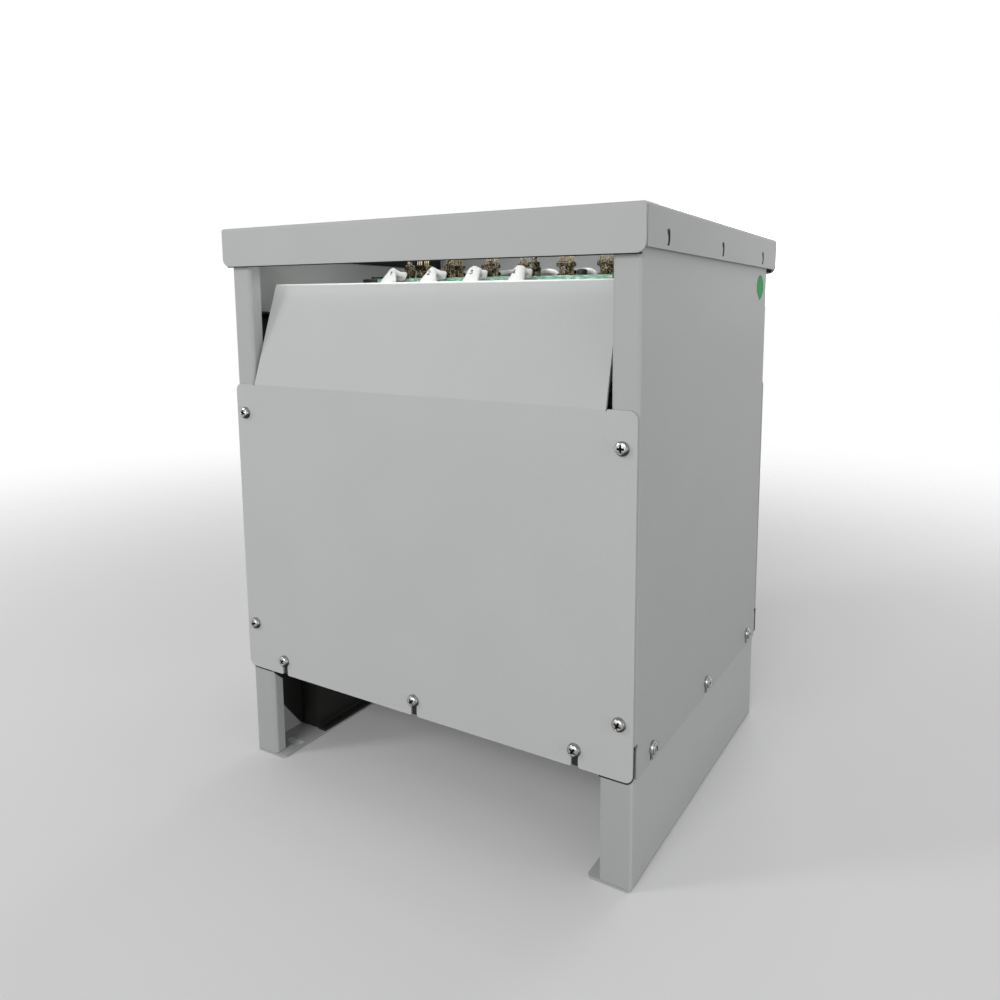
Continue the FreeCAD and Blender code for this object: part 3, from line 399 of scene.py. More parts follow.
def solids(name):
    """Lowest and highest corners of each separate solid of a node, from left to right.

    Points that share a place, to a hundredth of a millimetre, get one number, and the lowest number
    spreads over each solid."""
    mesh = nodes[name].data
    places = np.empty(len(mesh.vertices) * 3)
    mesh.vertices.foreach_get("co", places)
    corners = np.empty(len(mesh.loops), int)
    mesh.loops.foreach_get("vertex_index", corners)
    keys, inverse = np.unique(np.round(places.reshape(-1, 3) * 1e5), axis=0, return_inverse=True)
    faces = inverse.ravel()[corners].reshape(-1, 3)
    label = np.arange(len(keys))
    settled = False
    while not settled:
        spread = label.copy()
        np.minimum.at(spread, faces.ravel(), np.repeat(label[faces].min(axis=1), 3))
        spread = spread[spread]
        settled = np.array_equal(spread, label)
        label = spread
    found = [keys[label == k] / 1e5 for k in np.unique(label)]
    boxes = [(p.min(axis=0), p.max(axis=0)) for p in found]
    return sorted(boxes, key=lambda b: (round(b[0][0], 4), round(b[0][1], 4), b[0][2]))


def grid_faces(rows, columns, looped=False):
    """Quads of a grid whose last column joins its first. A looped grid joins its last row to its first as
    well."""
    row = np.arange(rows if looped else rows - 1)[:, None]
    column = np.arange(columns)[None, :]
    next_row = (row + 1) % rows
    next_column = (column + 1) % columns
    quads = [row * columns + column, row * columns + next_column,
             next_row * columns + next_column, next_row * columns + column]
    return np.stack(np.broadcast_arrays(*quads), axis=-1).reshape(-1, 4)


def capped(rows):
    """Rows of points with one more row at each end, drawn together in the middle of the end row."""
    ends = [np.broadcast_to(row.mean(axis=0), row.shape)[None] for row in (rows[0], rows[-1])]
    return np.concatenate([ends[0], rows, ends[1]])


def closed_part(rows):
    """Points, faces and an empty map of rows of points that are closed at both ends."""
    rows = capped(rows)
    return rows, grid_faces(*rows.shape[:2]), np.zeros((*rows.shape[:2], 2))


def joined(parts):
    """Points, faces and map places of several grids as one, with the faces numbered on."""
    points = np.concatenate([p.reshape(-1, 3) for p, f, m in parts])
    sizes = [p.size // 3 for p, f, m in parts]
    starts = np.cumsum([0] + sizes[:-1])
    faces = np.concatenate([f + s for (p, f, m), s in zip(parts, starts)])
    maps = np.concatenate([m.reshape(-1, 2) for p, f, m in parts])
    return points, faces, maps


def mesh_piece(name, parts, material, cad_nodes=(), smooth=True):
    """Makes one piece from grids. Its doubles are merged, its faces turn outwards, and it rides on the
    root."""
    points, faces, maps = joined(parts)
    mesh = bpy.data.meshes.new(name)
    mesh.from_pydata(points.tolist(), [], faces.tolist())
    layer = mesh.uv_layers.new(name="UVMap")
    corners = np.empty(len(mesh.loops), int)
    mesh.loops.foreach_get("vertex_index", corners)
    layer.data.foreach_set("uv", maps[corners].ravel())
    cleaned = bmesh.new()
    cleaned.from_mesh(mesh)
    bmesh.ops.remove_doubles(cleaned, verts=cleaned.verts, dist=1e-7)
    bmesh.ops.recalc_face_normals(cleaned, faces=cleaned.faces)
    cleaned.to_mesh(mesh)
    cleaned.free()
    mesh.polygons.foreach_set("use_smooth", np.full(len(mesh.polygons), smooth))
    mesh.materials.append(material)
    mesh.update()
    piece = bpy.data.objects.new(name, mesh)
    bpy.context.scene.collection.objects.link(piece)
    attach(piece, "root")
    if cad_nodes:
        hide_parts(*cad_nodes)
    return piece


def square_to(direction):
    """Two unit vectors square to a direction and to each other."""
    direction = np.asarray(direction, float)
    helper = np.array([0.0, 0.0, 1.0]) if abs(direction[2]) < 0.9 else np.array([1.0, 0.0, 0.0])
    across = np.cross(helper, direction)
    across /= np.linalg.norm(across)
    return across, np.cross(direction, across)


def lathe(place, axis, radii, heights, spin=0.0):
    """Points round an axis: at each row and angle the place, plus the radius times the turned direction,
    plus the height along the axis."""
    turns = radii.shape[1]
    angle = np.linspace(0, 2 * np.pi, turns, endpoint=False) + spin
    first, second = square_to(axis)
    round_about = np.cos(angle)[:, None] * first + np.sin(angle)[:, None] * second
    along = heights[..., None] * np.asarray(axis, float)
    return place + radii[..., None] * round_about + along


def path_direction(path):
    """Unit vectors along a path, at each of its points."""
    direction = np.gradient(path, axis=0)
    return direction / np.linalg.norm(direction, axis=1)[:, None]


def sweep(path, side, wide, thick, power, sides):
    """Tube round a path. Its section is a superellipse in the plane of the side vector and of the path's
    direction crossed with it: the half widths times the signed cosine and sine to the power 2 / power."""
    direction = path_direction(path)
    side = np.broadcast_to(np.asarray(side, float), path.shape)
    side = side - (side * direction).sum(axis=1)[:, None] * direction
    side /= np.linalg.norm(side, axis=1)[:, None]
    other = np.cross(direction, side)
    angle = np.linspace(0, 2 * np.pi, sides, endpoint=False)
    parts = [np.sign(f(angle)) * np.abs(f(angle)) ** (2 / power[:, None]) for f in (np.cos, np.sin)]
    return (path[:, None] + (wide[:, None] * parts[0])[..., None] * side[:, None]
            + (thick[:, None] * parts[1])[..., None] * other[:, None])


def smooth_path(points, count):
    """Points along a quadratic spline through the middles of the runs, at even steps of its length. Each
    run is a * (1 - s)^2 + 2 * b * s * (1 - s) + c * s^2 for its middles a and c and the point b between."""
    points = np.asarray(points, float)
    middles = (points[1:] + points[:-1]) / 2
    knots = np.concatenate([points[:1], middles, points[-1:]])
    shares = np.linspace(0, 1, curve_steps)[:, None]
    runs = [points[:1] * (1 - shares) + knots[1] * shares]
    for k in range(1, len(points) - 1):
        a, b, c = knots[k], points[k], knots[k + 1]
        runs.append(a * (1 - shares) ** 2 + 2 * b * shares * (1 - shares) + c * shares ** 2)
    runs.append(knots[-2] * (1 - shares) + points[-1:] * shares)
    line = np.concatenate([runs[0]] + [r[1:] for r in runs[1:]])
    steps = path_length(line)
    even = np.linspace(0, steps[-1], count)
    return np.stack([np.interp(even, steps, line[:, k]) for k in range(3)], axis=1)


def path_length(path):
    """Length along a path, at each of its points."""
    return np.concatenate([[0], np.cumsum(np.linalg.norm(np.diff(path, axis=0), axis=1))])


# Materials. The groups put out colours, values and heights that change over the surface.
def new_group(name, inputs, outputs):
    """Shader node group with named sockets, its input node and its output node. An input is given by its
    kind, or by its value where it is a number."""
    tree = bpy.data.node_groups.new(name, "ShaderNodeTree")
    for label, value in inputs.items():
        kind = value if isinstance(value, str) else "Float"
        made = tree.interface.new_socket(label, in_out="INPUT", socket_type="NodeSocket" + kind)
        if kind == "Float":
            made.default_value = value
    for label, kind in outputs.items():
        tree.interface.new_socket(label, in_out="OUTPUT", socket_type="NodeSocket" + kind)
    return tree, tree.nodes.new("NodeGroupInput"), tree.nodes.new("NodeGroupOutput")


def feed(tree, socket, value):
    """Gives an input its value: a link from another node's socket, a number, a vector or a colour."""
    if isinstance(value, bpy.types.NodeSocket):
        tree.links.new(value, socket)
    else:
        socket.default_value = (*value, 1.0) if socket.type == "RGBA" else value


def math_node(tree, operation, *values):
    """Math node fed by sockets or numbers."""
    made = tree.nodes.new("ShaderNodeMath")
    made.operation = operation
    for k, value in enumerate(values):
        feed(tree, made.inputs[k], value)
    return made.outputs[0]


def split_vector(tree, vector):
    """The three parts of a vector."""
    made = tree.nodes.new("ShaderNodeSeparateXYZ")
    tree.links.new(vector, made.inputs[0])
    return made.outputs


def stretched(tree, vector, factors):
    """Vector with each part times its factor."""
    made = tree.nodes.new("ShaderNodeVectorMath")
    made.operation = "MULTIPLY"
    made.inputs[1].default_value = factors
    tree.links.new(vector, made.inputs[0])
    return made.outputs["Vector"]


def noise(tree, vector, size, detail=2.0):
    """Noise with features of about the given size in metres, a number or a socket."""
    made = tree.nodes.new("ShaderNodeTexNoise")
    feed(tree, made.inputs["Scale"], 1 / size if isinstance(size, float) else
         math_node(tree, "DIVIDE", 1.0, size))
    made.inputs["Detail"].default_value = detail
    tree.links.new(vector, made.inputs["Vector"])
    return made.outputs["Fac"]


def ramp(tree, value, low, high, out_low=0.0, out_high=1.0):
    """Value mapped from one range to another, held at the ends."""
    made = tree.nodes.new("ShaderNodeMapRange")
    labels = ("Value", "From Min", "From Max", "To Min", "To Max")
    for label, given in zip(labels, (value, low, high, out_low, out_high)):
        feed(tree, made.inputs[label], given)
    return made.outputs["Result"]


def shaded(tree, colour, value):
    """Colour, from a socket or as numbers, times a value near one."""
    made = tree.nodes.new("ShaderNodeVectorMath")
    made.operation = "SCALE"
    feed(tree, made.inputs[0], colour)
    feed(tree, made.inputs["Scale"], value)
    return made.outputs["Vector"]


def blended(tree, share, first, second):
    """Mix of two colours by a share, each from a socket or as numbers."""
    made = tree.nodes.new("ShaderNodeMixRGB")
    for label, value in (("Fac", share), ("Color1", first), ("Color2", second)):
        feed(tree, made.inputs[label], value)
    return made.outputs["Color"]


def make_powder_group():
    """Powder coat: fine orange peel, pale and dark grains, and a slow change of tone."""
    tree, inside, out = new_group(
        "powder_coat", {"Vector": "Vector", "Color": "Color", "Grain": 0.03, "Roughness": 0.5},
        {"Color": "Color", "Roughness": "Float", "Height": "Float"})
    vector = inside.outputs["Vector"]
    peel = noise(tree, vector, peel_size, 3.0)
    grain = noise(tree, vector, grain_size, 1.0)
    tone = noise(tree, vector, coat_tone_size, 1.0)
    speck = math_node(tree, "MULTIPLY", ramp(tree, grain, 0.3, 0.7, -1.0, 1.0), inside.outputs["Grain"])
    total = math_node(tree, "ADD", ramp(tree, tone, 0.35, 0.65, 0.99, 1.01), speck)
    tree.links.new(shaded(tree, inside.outputs["Color"], total), out.inputs["Color"])
    uneven = ramp(tree, peel, 0.3, 0.7, -0.05, 0.05)
    rough = math_node(tree, "ADD", inside.outputs["Roughness"], uneven)
    tree.links.new(rough, out.inputs["Roughness"])
    tree.links.new(peel, out.inputs["Height"])
    return tree


def make_metal_group():
    """Bare metal: cloudy tarnish, fine scratches that run one way, and painted shade where the piece's map
    marks recesses.
    """
    tree, inside, out = new_group(
        "bare_metal", {"Vector": "Vector", "Color": "Color", "Tarnish": "Color", "Amount": 0.5,
                       "Roughness": 0.35, "Painted Shade": 0.0},
        {"Color": "Color", "Roughness": "Float", "Height": "Float"})
    vector = inside.outputs["Vector"]
    cloud = noise(tree, vector, tarnish_size, 4.0)
    scratch = noise(tree, stretched(tree, vector, scratch_stretch), scratch_size)
    share = math_node(tree, "MULTIPLY", ramp(tree, cloud, 0.35, 0.68), inside.outputs["Amount"])
    metal = blended(tree, share, inside.outputs["Color"], inside.outputs["Tarnish"])
    # Painted shade: the colour loses the share that this input gives
    light = math_node(tree, "SUBTRACT", 1.0, inside.outputs["Painted Shade"])
    tree.links.new(shaded(tree, metal, light), out.inputs["Color"])
    uneven = ramp(tree, scratch, 0.3, 0.7, -0.08, 0.12)
    dull = math_node(tree, "MULTIPLY", inside.outputs["Painted Shade"], 0.4)
    rough = math_node(tree, "ADD", inside.outputs["Roughness"], uneven)
    rough = math_node(tree, "ADD", rough, dull)
    tree.links.new(rough, out.inputs["Roughness"])
    tree.links.new(scratch, out.inputs["Height"])
    return tree


def make_lines_group():
    """Layers side by side: thin dark lines square to one axis, uneven from layer to layer."""
    tree, inside, out = new_group(
        "stacked_lines", {"Along": 0.0, "Vector": "Vector", "Color": "Color", "Pitch": 0.5 * MM,
                          "Depth": 0.4},
        {"Color": "Color", "Height": "Float"})
    turns = math_node(tree, "DIVIDE", inside.outputs["Along"], inside.outputs["Pitch"])
    part = math_node(tree, "FRACT", turns)
    middle = math_node(tree, "ABSOLUTE", math_node(tree, "SUBTRACT", part, 0.5))
    edge = ramp(tree, middle, 0.30, 0.5, 1.0, 0.0)
    layer = tree.nodes.new("ShaderNodeTexWhiteNoise")
    layer.noise_dimensions = "1D"
    tree.links.new(math_node(tree, "FLOOR", turns), layer.inputs["W"])
    uneven = ramp(tree, layer.outputs["Value"], 0.0, 1.0, 0.85, 1.15)
    patches = noise(tree, inside.outputs["Vector"], layer_patch_size, 3.0)
    patches = ramp(tree, patches, 0.3, 0.7, 0.85, 1.15)
    gap = math_node(tree, "MULTIPLY", inside.outputs["Depth"], math_node(tree, "SUBTRACT", 1.0, edge))
    dark = math_node(tree, "SUBTRACT", 1.0, gap)
    total = math_node(tree, "MULTIPLY", math_node(tree, "MULTIPLY", dark, uneven), patches)
    tree.links.new(shaded(tree, inside.outputs["Color"], total), out.inputs["Color"])
    tree.links.new(edge, out.inputs["Height"])
    return tree


def make_braid_group():
    """Braided glass sleeve: two sets of slanting strands that pass over each other."""
    tree, inside, out = new_group(
        "braid", {"Vector": "Vector", "Color": "Color", "Pitch": braid_pitch},
        {"Color": "Color", "Height": "Float"})
    split = split_vector(tree, inside.outputs["Vector"])
    both = []
    for operation in ("ADD", "SUBTRACT"):
        slant = math_node(tree, operation, split["X"], split["Y"])
        steps = math_node(tree, "DIVIDE", slant, inside.outputs["Pitch"])
        both.append(math_node(tree, "COSINE", math_node(tree, "MULTIPLY", steps, 2 * math.pi)))
    height = math_node(tree, "MULTIPLY", both[0], both[1])
    lumps = noise(tree, inside.outputs["Vector"], sleeve_lump_size)
    shade = math_node(tree, "ADD", ramp(tree, height, -1.0, 1.0, 0.94, 1.0),
                      ramp(tree, lumps, 0.3, 0.7, -0.04, 0.03))
    tree.links.new(shaded(tree, inside.outputs["Color"], shade), out.inputs["Color"])
    tree.links.new(height, out.inputs["Height"])
    return tree


def make_front_group():
    """Painted shade on the faces that look to the front, whose colour goes down to the tone. The vector is
    the face's normal."""
    tree, inside, out = new_group(
        "painted_front_shade", {"Vector": "Vector", "Color": "Color", "Tone": 0.8}, {"Color": "Color"})
    facing = split_vector(tree, inside.outputs["Vector"])["Y"]
    shade = ramp(tree, facing, -0.95, -0.5, inside.outputs["Tone"], 1.0)
    tree.links.new(shaded(tree, inside.outputs["Color"], shade), out.inputs["Color"])
    return tree


def make_spots_group():
    """Bronze with small spots at random, painted darker and brighter to stand in for shade and glints."""
    tree, inside, out = new_group(
        "glint_and_shade_spots", {"Vector": "Vector", "Color": "Color"}, {"Color": "Color"})
    spots = ramp(tree, noise(tree, inside.outputs["Vector"], spot_size), *spot_ramp)
    tree.links.new(shaded(tree, inside.outputs["Color"], spots), out.inputs["Color"])
    return tree


def make_grain_group():
    """Fine grain of plain stuff: a tone that changes over a feature size, and a height of the same grain."""
    tree, inside, out = new_group(
        "fine_grain", {"Vector": "Vector", "Color": "Color", "Size": 1.0 * MM, "Amount": 0.1},
        {"Color": "Color", "Height": "Float"})
    grain = noise(tree, inside.outputs["Vector"], inside.outputs["Size"], 3.0)
    speck = math_node(tree, "MULTIPLY", ramp(tree, grain, 0.3, 0.7, -1.0, 1.0), inside.outputs["Amount"])
    tone = math_node(tree, "ADD", speck, 1.0)
    tree.links.new(shaded(tree, inside.outputs["Color"], tone), out.inputs["Color"])
    tree.links.new(grain, out.inputs["Height"])
    return tree


groups = {"powder_coat": make_powder_group(), "bare_metal": make_metal_group(),
          "stacked_lines": make_lines_group(), "braid": make_braid_group(),
          "painted_front_shade": make_front_group(), "glint_and_shade_spots": make_spots_group(),
          "fine_grain": make_grain_group()}


def start_material(name, roughness=0.5, metallic=0.0):
    """Material with a Principled shader and its node tree."""
    material = bpy.data.materials.new(name)
    material.use_nodes = True
    tree = material.node_tree
    shader = tree.nodes["Principled BSDF"]
    shader.inputs["Roughness"].default_value = roughness
    shader.inputs["Metallic"].default_value = metallic
    return material, tree, shader


def place_group(tree, name, vector, **values):
    """Group node with its vector linked and its other inputs set or linked by name."""
    made = tree.nodes.new("ShaderNodeGroup")
    made.node_tree = groups[name]
    tree.links.new(vector, made.inputs["Vector"])
    for label, value in values.items():
        feed(tree, made.inputs[label], value)
    return made


def object_place(tree):
    """Places on the object, in metres."""
    return tree.nodes.new("ShaderNodeTexCoord").outputs["Object"]


def map_place(tree):
    """The piece's own map: how much painted shade a place of a metal piece gets, or lengths along and round
    a sleeve.
    """
    made = tree.nodes.new("ShaderNodeUVMap")
    made.uv_map = "UVMap"
    return made.outputs["UV"]


def link_surface(tree, shader, colour, height, distance, roughness=None):
    """Gives a shader its colour, a bump whose height is in parts of a distance in metres, and a roughness
    where that changes over the surface."""
    tree.links.new(colour, shader.inputs["Base Color"])
    if roughness is not None:
        tree.links.new(roughness, shader.inputs["Roughness"])
    bump = tree.nodes.new("ShaderNodeBump")
    bump.inputs["Distance"].default_value = distance
    tree.links.new(height, bump.inputs["Height"])
    tree.links.new(bump.outputs["Normal"], shader.inputs["Normal"])


def distance_node(tree, first, second):
    """Length of a vector of two parts."""
    squares = [math_node(tree, "MULTIPLY", part, part) for part in (first, second)]
    return math_node(tree, "SQRT", math_node(tree, "ADD", *squares))


def nib_shade(tree):
    """Painted shade of the lid, darker on its sides, brought nearly to nought by painted shadow over the
    crescents and round eyes of its side flanges and round their edges. A crescent is the right arc of a band
    round a circle, wider towards the top."""
    place = split_vector(tree, object_place(tree))
    turns = math_node(tree, "ROUND", math_node(tree, "DIVIDE", place["Y"], nib_spacing))
    along = math_node(tree, "SUBTRACT", place["Y"], math_node(tree, "MULTIPLY", turns, nib_spacing))
    rise = math_node(tree, "SUBTRACT", place["Z"], float(cad_box[1][2]) - nib_below_top)

    from_middle = distance_node(tree, math_node(tree, "ADD", along, nib_radius), rise)
    off = math_node(tree, "ABSOLUTE", math_node(tree, "SUBTRACT", from_middle, nib_radius))
    wide = ramp(tree, rise, -nib_half_height, nib_half_height, *nib_painted_shadow)
    band = ramp(tree, math_node(tree, "SUBTRACT", off, wide), -nib_soft, nib_soft, 1.0, 0.0)
    arc = ramp(tree, along, *[nib_radius * share for share in nib_arc])
    ends = ramp(tree, math_node(tree, "ABSOLUTE", rise), nib_half_height, nib_half_height + nib_end_soft,
                1.0, 0.0)
    crescent = math_node(tree, "MULTIPLY", math_node(tree, "MULTIPLY", band, arc), ends)

    eye_y, eye_z, eye_radius = nib_eye
    from_eye = distance_node(tree, math_node(tree, "SUBTRACT", along, eye_y),
                             math_node(tree, "SUBTRACT", rise, eye_z))
    eye = ramp(tree, from_eye, *[eye_radius + shadow_width for shadow_width in eye_painted_shadow], 1.0, 0.0)

    outward = math_node(tree, "ABSOLUTE", place["X"])
    outer = float(cad_box[1][0])
    flange = ramp(tree, outward, *[outer - depth for depth in flange_depth])
    tone = ramp(tree, outward, *[outer - depth for depth in lid_face], lid_painted_shade, lid_side_painted_shade)
    mark = math_node(tree, "MULTIPLY", math_node(tree, "MAXIMUM", crescent, eye), flange)
    clear = math_node(tree, "SUBTRACT", 1.0, mark)
    return math_node(tree, "MULTIPLY", tone, ramp(tree, clear, 0.0, 1.0, slot_shadow_tone, 1.0))


def make_powder(name, colour, roughness, grain=0.02, peel=0.02 * MM, front_painted_shade=None, nibs=False):
    """Powder coated sheet. Where a front painted shade is given, the faces that look to the front are
    painted darker by it. With nibs it is the lid's, which has painted shade on its front and sides and
    painted shadow over the slots of its side flanges."""
    material, tree, shader = start_material(name)
    shader.inputs["Specular IOR Level"].default_value = coat_specular
    coat = place_group(tree, "powder_coat", object_place(tree), Color=colour, Grain=grain,
                       Roughness=roughness)
    tone = coat.outputs["Color"]
    if front_painted_shade:
        # Painted shade on the faces that look to the front
        normal = tree.nodes.new("ShaderNodeNewGeometry").outputs["Normal"]
        tone = place_group(tree, "painted_front_shade", normal, Color=tone, Tone=front_painted_shade).outputs["Color"]
    if nibs:
        # Painted shade on the lid's front and sides, and painted shadow at its slots
        tone = shaded(tree, tone, nib_shade(tree))
    link_surface(tree, shader, tone, coat.outputs["Height"], peel, coat.outputs["Roughness"])
    return material


def make_metal(name, colour, tarnish, amount, roughness, painted_shade=0.0, scratch=0.01 * MM, spotted=False):
    """Bare metal. The painted shade is the share of its colour that the places marked in the piece's map
    lose, as shade painted into recesses, grooves and rims. A spotted metal has small spots painted darker
    and brighter, standing in for shade and glints."""
    material, tree, shader = start_material(name, metallic=1.0)
    place = object_place(tree)
    metal = place_group(tree, "bare_metal", place, Color=colour, Tarnish=tarnish, Amount=amount,
                        Roughness=roughness)
    # Painted shade from the piece's map
    if painted_shade:
        mark = math_node(tree, "MULTIPLY", split_vector(tree, map_place(tree))["X"], painted_shade)
        feed(tree, metal.inputs["Painted Shade"], mark)
    tone = metal.outputs["Color"]
    # Spots of painted shade and painted glints
    if spotted:
        tone = place_group(tree, "glint_and_shade_spots", place, Color=tone).outputs["Color"]
    link_surface(tree, shader, tone, metal.outputs["Height"], scratch, metal.outputs["Roughness"])
    return material


def make_layered(name, colour, axis, pitch, depth, roughness, metallic=0.0, relief=0.08 * MM):
    """Layers stacked along an axis of the object: laminations or turns of wire."""
    material, tree, shader = start_material(name, roughness, metallic)
    place = object_place(tree)
    lines = place_group(tree, "stacked_lines", place, Color=colour, Pitch=pitch, Depth=depth,
                        Along=split_vector(tree, place)[axis])
    link_surface(tree, shader, lines.outputs["Color"], lines.outputs["Height"], relief)
    return material


def make_plain(name, colour, roughness, size, amount, relief, specular=0.5):
    """Plastic, rubber, dark shadow linings, ink or paper: a fine grain in the tone and in the relief."""
    material, tree, shader = start_material(name, roughness)
    shader.inputs["Specular IOR Level"].default_value = specular
    grain = place_group(tree, "fine_grain", object_place(tree), Color=colour, Size=size, Amount=amount)
    link_surface(tree, shader, grain.outputs["Color"], grain.outputs["Height"], relief)
    return material


def make_board_material():
    """Mint glass laminate: cloudy resin, and cut edges whose fibres catch the light in pale streaks."""
    material, tree, shader = start_material("mint_laminate", 0.36)
    place = object_place(tree)
    streaks = noise(tree, stretched(tree, place, fibre_stretch), fibre_size, 3.0)
    clouds = noise(tree, place, resin_size)
    tone = math_node(tree, "MULTIPLY", ramp(tree, streaks, 0.35, 0.70, 0.72, 1.30),
                     ramp(tree, clouds, 0.35, 0.65, 0.88, 1.15))
    pale = ramp(tree, streaks, 0.50, 0.64, 0.0, 0.85)
    colour = blended(tree, pale, shaded(tree, board_mint, tone), board_fibre)
    link_surface(tree, shader, colour, streaks, 0.05 * MM)
    return material


def make_sleeve_material():
    """White braided glass sleeve."""
    material, tree, shader = start_material("white_glass_sleeve", 0.7)
    braid = place_group(tree, "braid", map_place(tree), Color=sleeve_white)
    link_surface(tree, shader, braid.outputs["Color"], braid.outputs["Height"], 0.08 * MM)
    return material


materials = {
    "cover_coat": make_powder("cover_powder_coat", coat_grey, 0.48),
    # A paler coat on the baffles' folded edges, as a painted highlight
    "edge_highlight": make_powder("painted_edge_highlight", edge_highlight_grey, 0.36),
    # The lid's coat carries painted shade on its front and sides, and painted shadow at its slots
    "lid_coat": make_powder("lid_powder_coat", coat_grey, 0.48, nibs=True),
    # The panel and base coats carry painted shade on their front faces
    "panel_coat": make_powder("panel_powder_coat", coat_grey, 0.52, grain=0.05,
                              front_painted_shade=post_front_painted_shade),
    "base_coat": make_powder("base_powder_coat", base_grey, 0.48, grain=0.05, front_painted_shade=leg_front_painted_shade),
    "support_coat": make_powder("black_support_paint", support_black, 0.42, grain=0.12, peel=0.05 * MM),
    "clamp_coat": make_powder("black_clamp_paint", clamp_black, 0.5, grain=0.12, peel=0.05 * MM),
    # Painted shade in the screw heads' recesses, shoulder grooves and rims away from the light
    "zinc": make_metal("zinc_plated_screws", zinc_bright, zinc_dull, 0.6, 0.17, painted_shade=0.98),
    "steel": make_metal("plain_bolts", steel_grey, steel_dull, 0.6, 0.38),
    # The bronze finishes carry spots of painted shade and painted glints
    "bronze": make_metal("bronze_terminals", bronze_dark, bronze_black, 0.6, 0.20, spotted=True),
    # The turned bronze carries painted shade in the nuts' bores and the studs' thread valleys
    "turned_bronze": make_metal("turned_bronze", bronze_turned, bronze_dull, 0.5, 0.13, painted_shade=0.9,
                                spotted=True),
    "gold_wire": make_metal("golden_wire", wire_gold, wire_dull, 0.8, 0.15),
    "foil": make_metal("copper_foil", copper_foil, foil_dull, 0.5, 0.3),
    "core": make_layered("core_laminations", core_grey, "Y", 0.5 * MM, 0.45, 0.45, metallic=0.4),
    "wire_turns": make_layered("varnished_turns", copper_varnish, "Z", 3.2 * MM, 0.55, 0.28, metallic=0.3,
                               relief=0.5 * MM),
    "paper": make_plain("varnished_paper", paper_tan, 0.5, 6 * MM, 0.12, 0.06 * MM),
    "board": make_board_material(),
    "black_plastic": make_plain("black_plastic", plug_black, 0.4, 1.2 * MM, 0.1, 0.03 * MM),
    "rubber": make_plain("black_rubber", rubber_black, 0.75, 1.5 * MM, 0.15, 0.05 * MM),
    # Black for the linings that stand in for shadow, and for the lid's seals
    "shadow_lining": make_plain("black_shadow_lining", shadow_lining_black, 0.9, 0.7 * MM, 0.4, 0.25 * MM),
    "ink": make_plain("black_ink", ink_black, 0.6, 0.5 * MM, 0.15, 0.01 * MM),
    "sleeve": make_sleeve_material(),
    "sticker": make_plain("green_sticker", sticker_green, 0.6, 3 * MM, 0.05, 0.01 * MM, specular=0.15),
}

node_materials = {
    "lid_coat": ("top_cover",),
    "cover_coat": ("front_cover", "back_cover"),
    "panel_coat": ("left_side_panel", "right_side_panel"),
    "base_coat": ("left_base", "right_base", "front_base_rail", "back_base_rail"),
    "support_coat": ("left_core_support", "right_core_support"),
    "clamp_coat": ("lower_front_clamp", "lower_back_clamp", "upper_front_clamp", "upper_back_clamp",
                   "left_board_bracket", "right_board_bracket"),
    "zinc": ("front_cover_screws", "back_cover_screws", "left_side_screws", "right_side_screws"),
    "steel": ("core_mount_bolts", "core_mount_nuts", "core_clamp_bolts", "core_clamp_nuts",
              "core_clamp_washers"),
    "bronze": ("front_terminal_studs", "front_terminal_nuts", "front_terminal_washers", "front_lead_lugs",
               "back_terminal_angles", "back_terminal_plates", "back_terminal_bolts", "back_terminal_nuts"),
    "gold_wire": ("back_wire_ends",),
    "foil": ("electrostatic_shield",),
    "core": ("laminated_core",),
    "wire_turns": ("primary_winding", "secondary_winding"),
    "paper": ("coil_former", "inner_barrier", "outer_barrier", "coil_wrap"),
    "board": ("terminal_board",),
    "black_plastic": ("cable_entry_plug", "board_cap", "board_screws"),
    "rubber": ("vibration_pads",),
    # The lid's seals get the same black, which darkens the inside under the lid
    "shadow_lining": ("lid_seals",),
    "sleeve": ("front_sleeved_leads", "back_sleeved_leads"),
}


def dress_nodes():
    """Gives each node of the frame its material."""
    for label, names in node_materials.items():
        for name in names:
            data = nodes[name].data
            data.materials.clear()
            data.materials.append(materials[label])


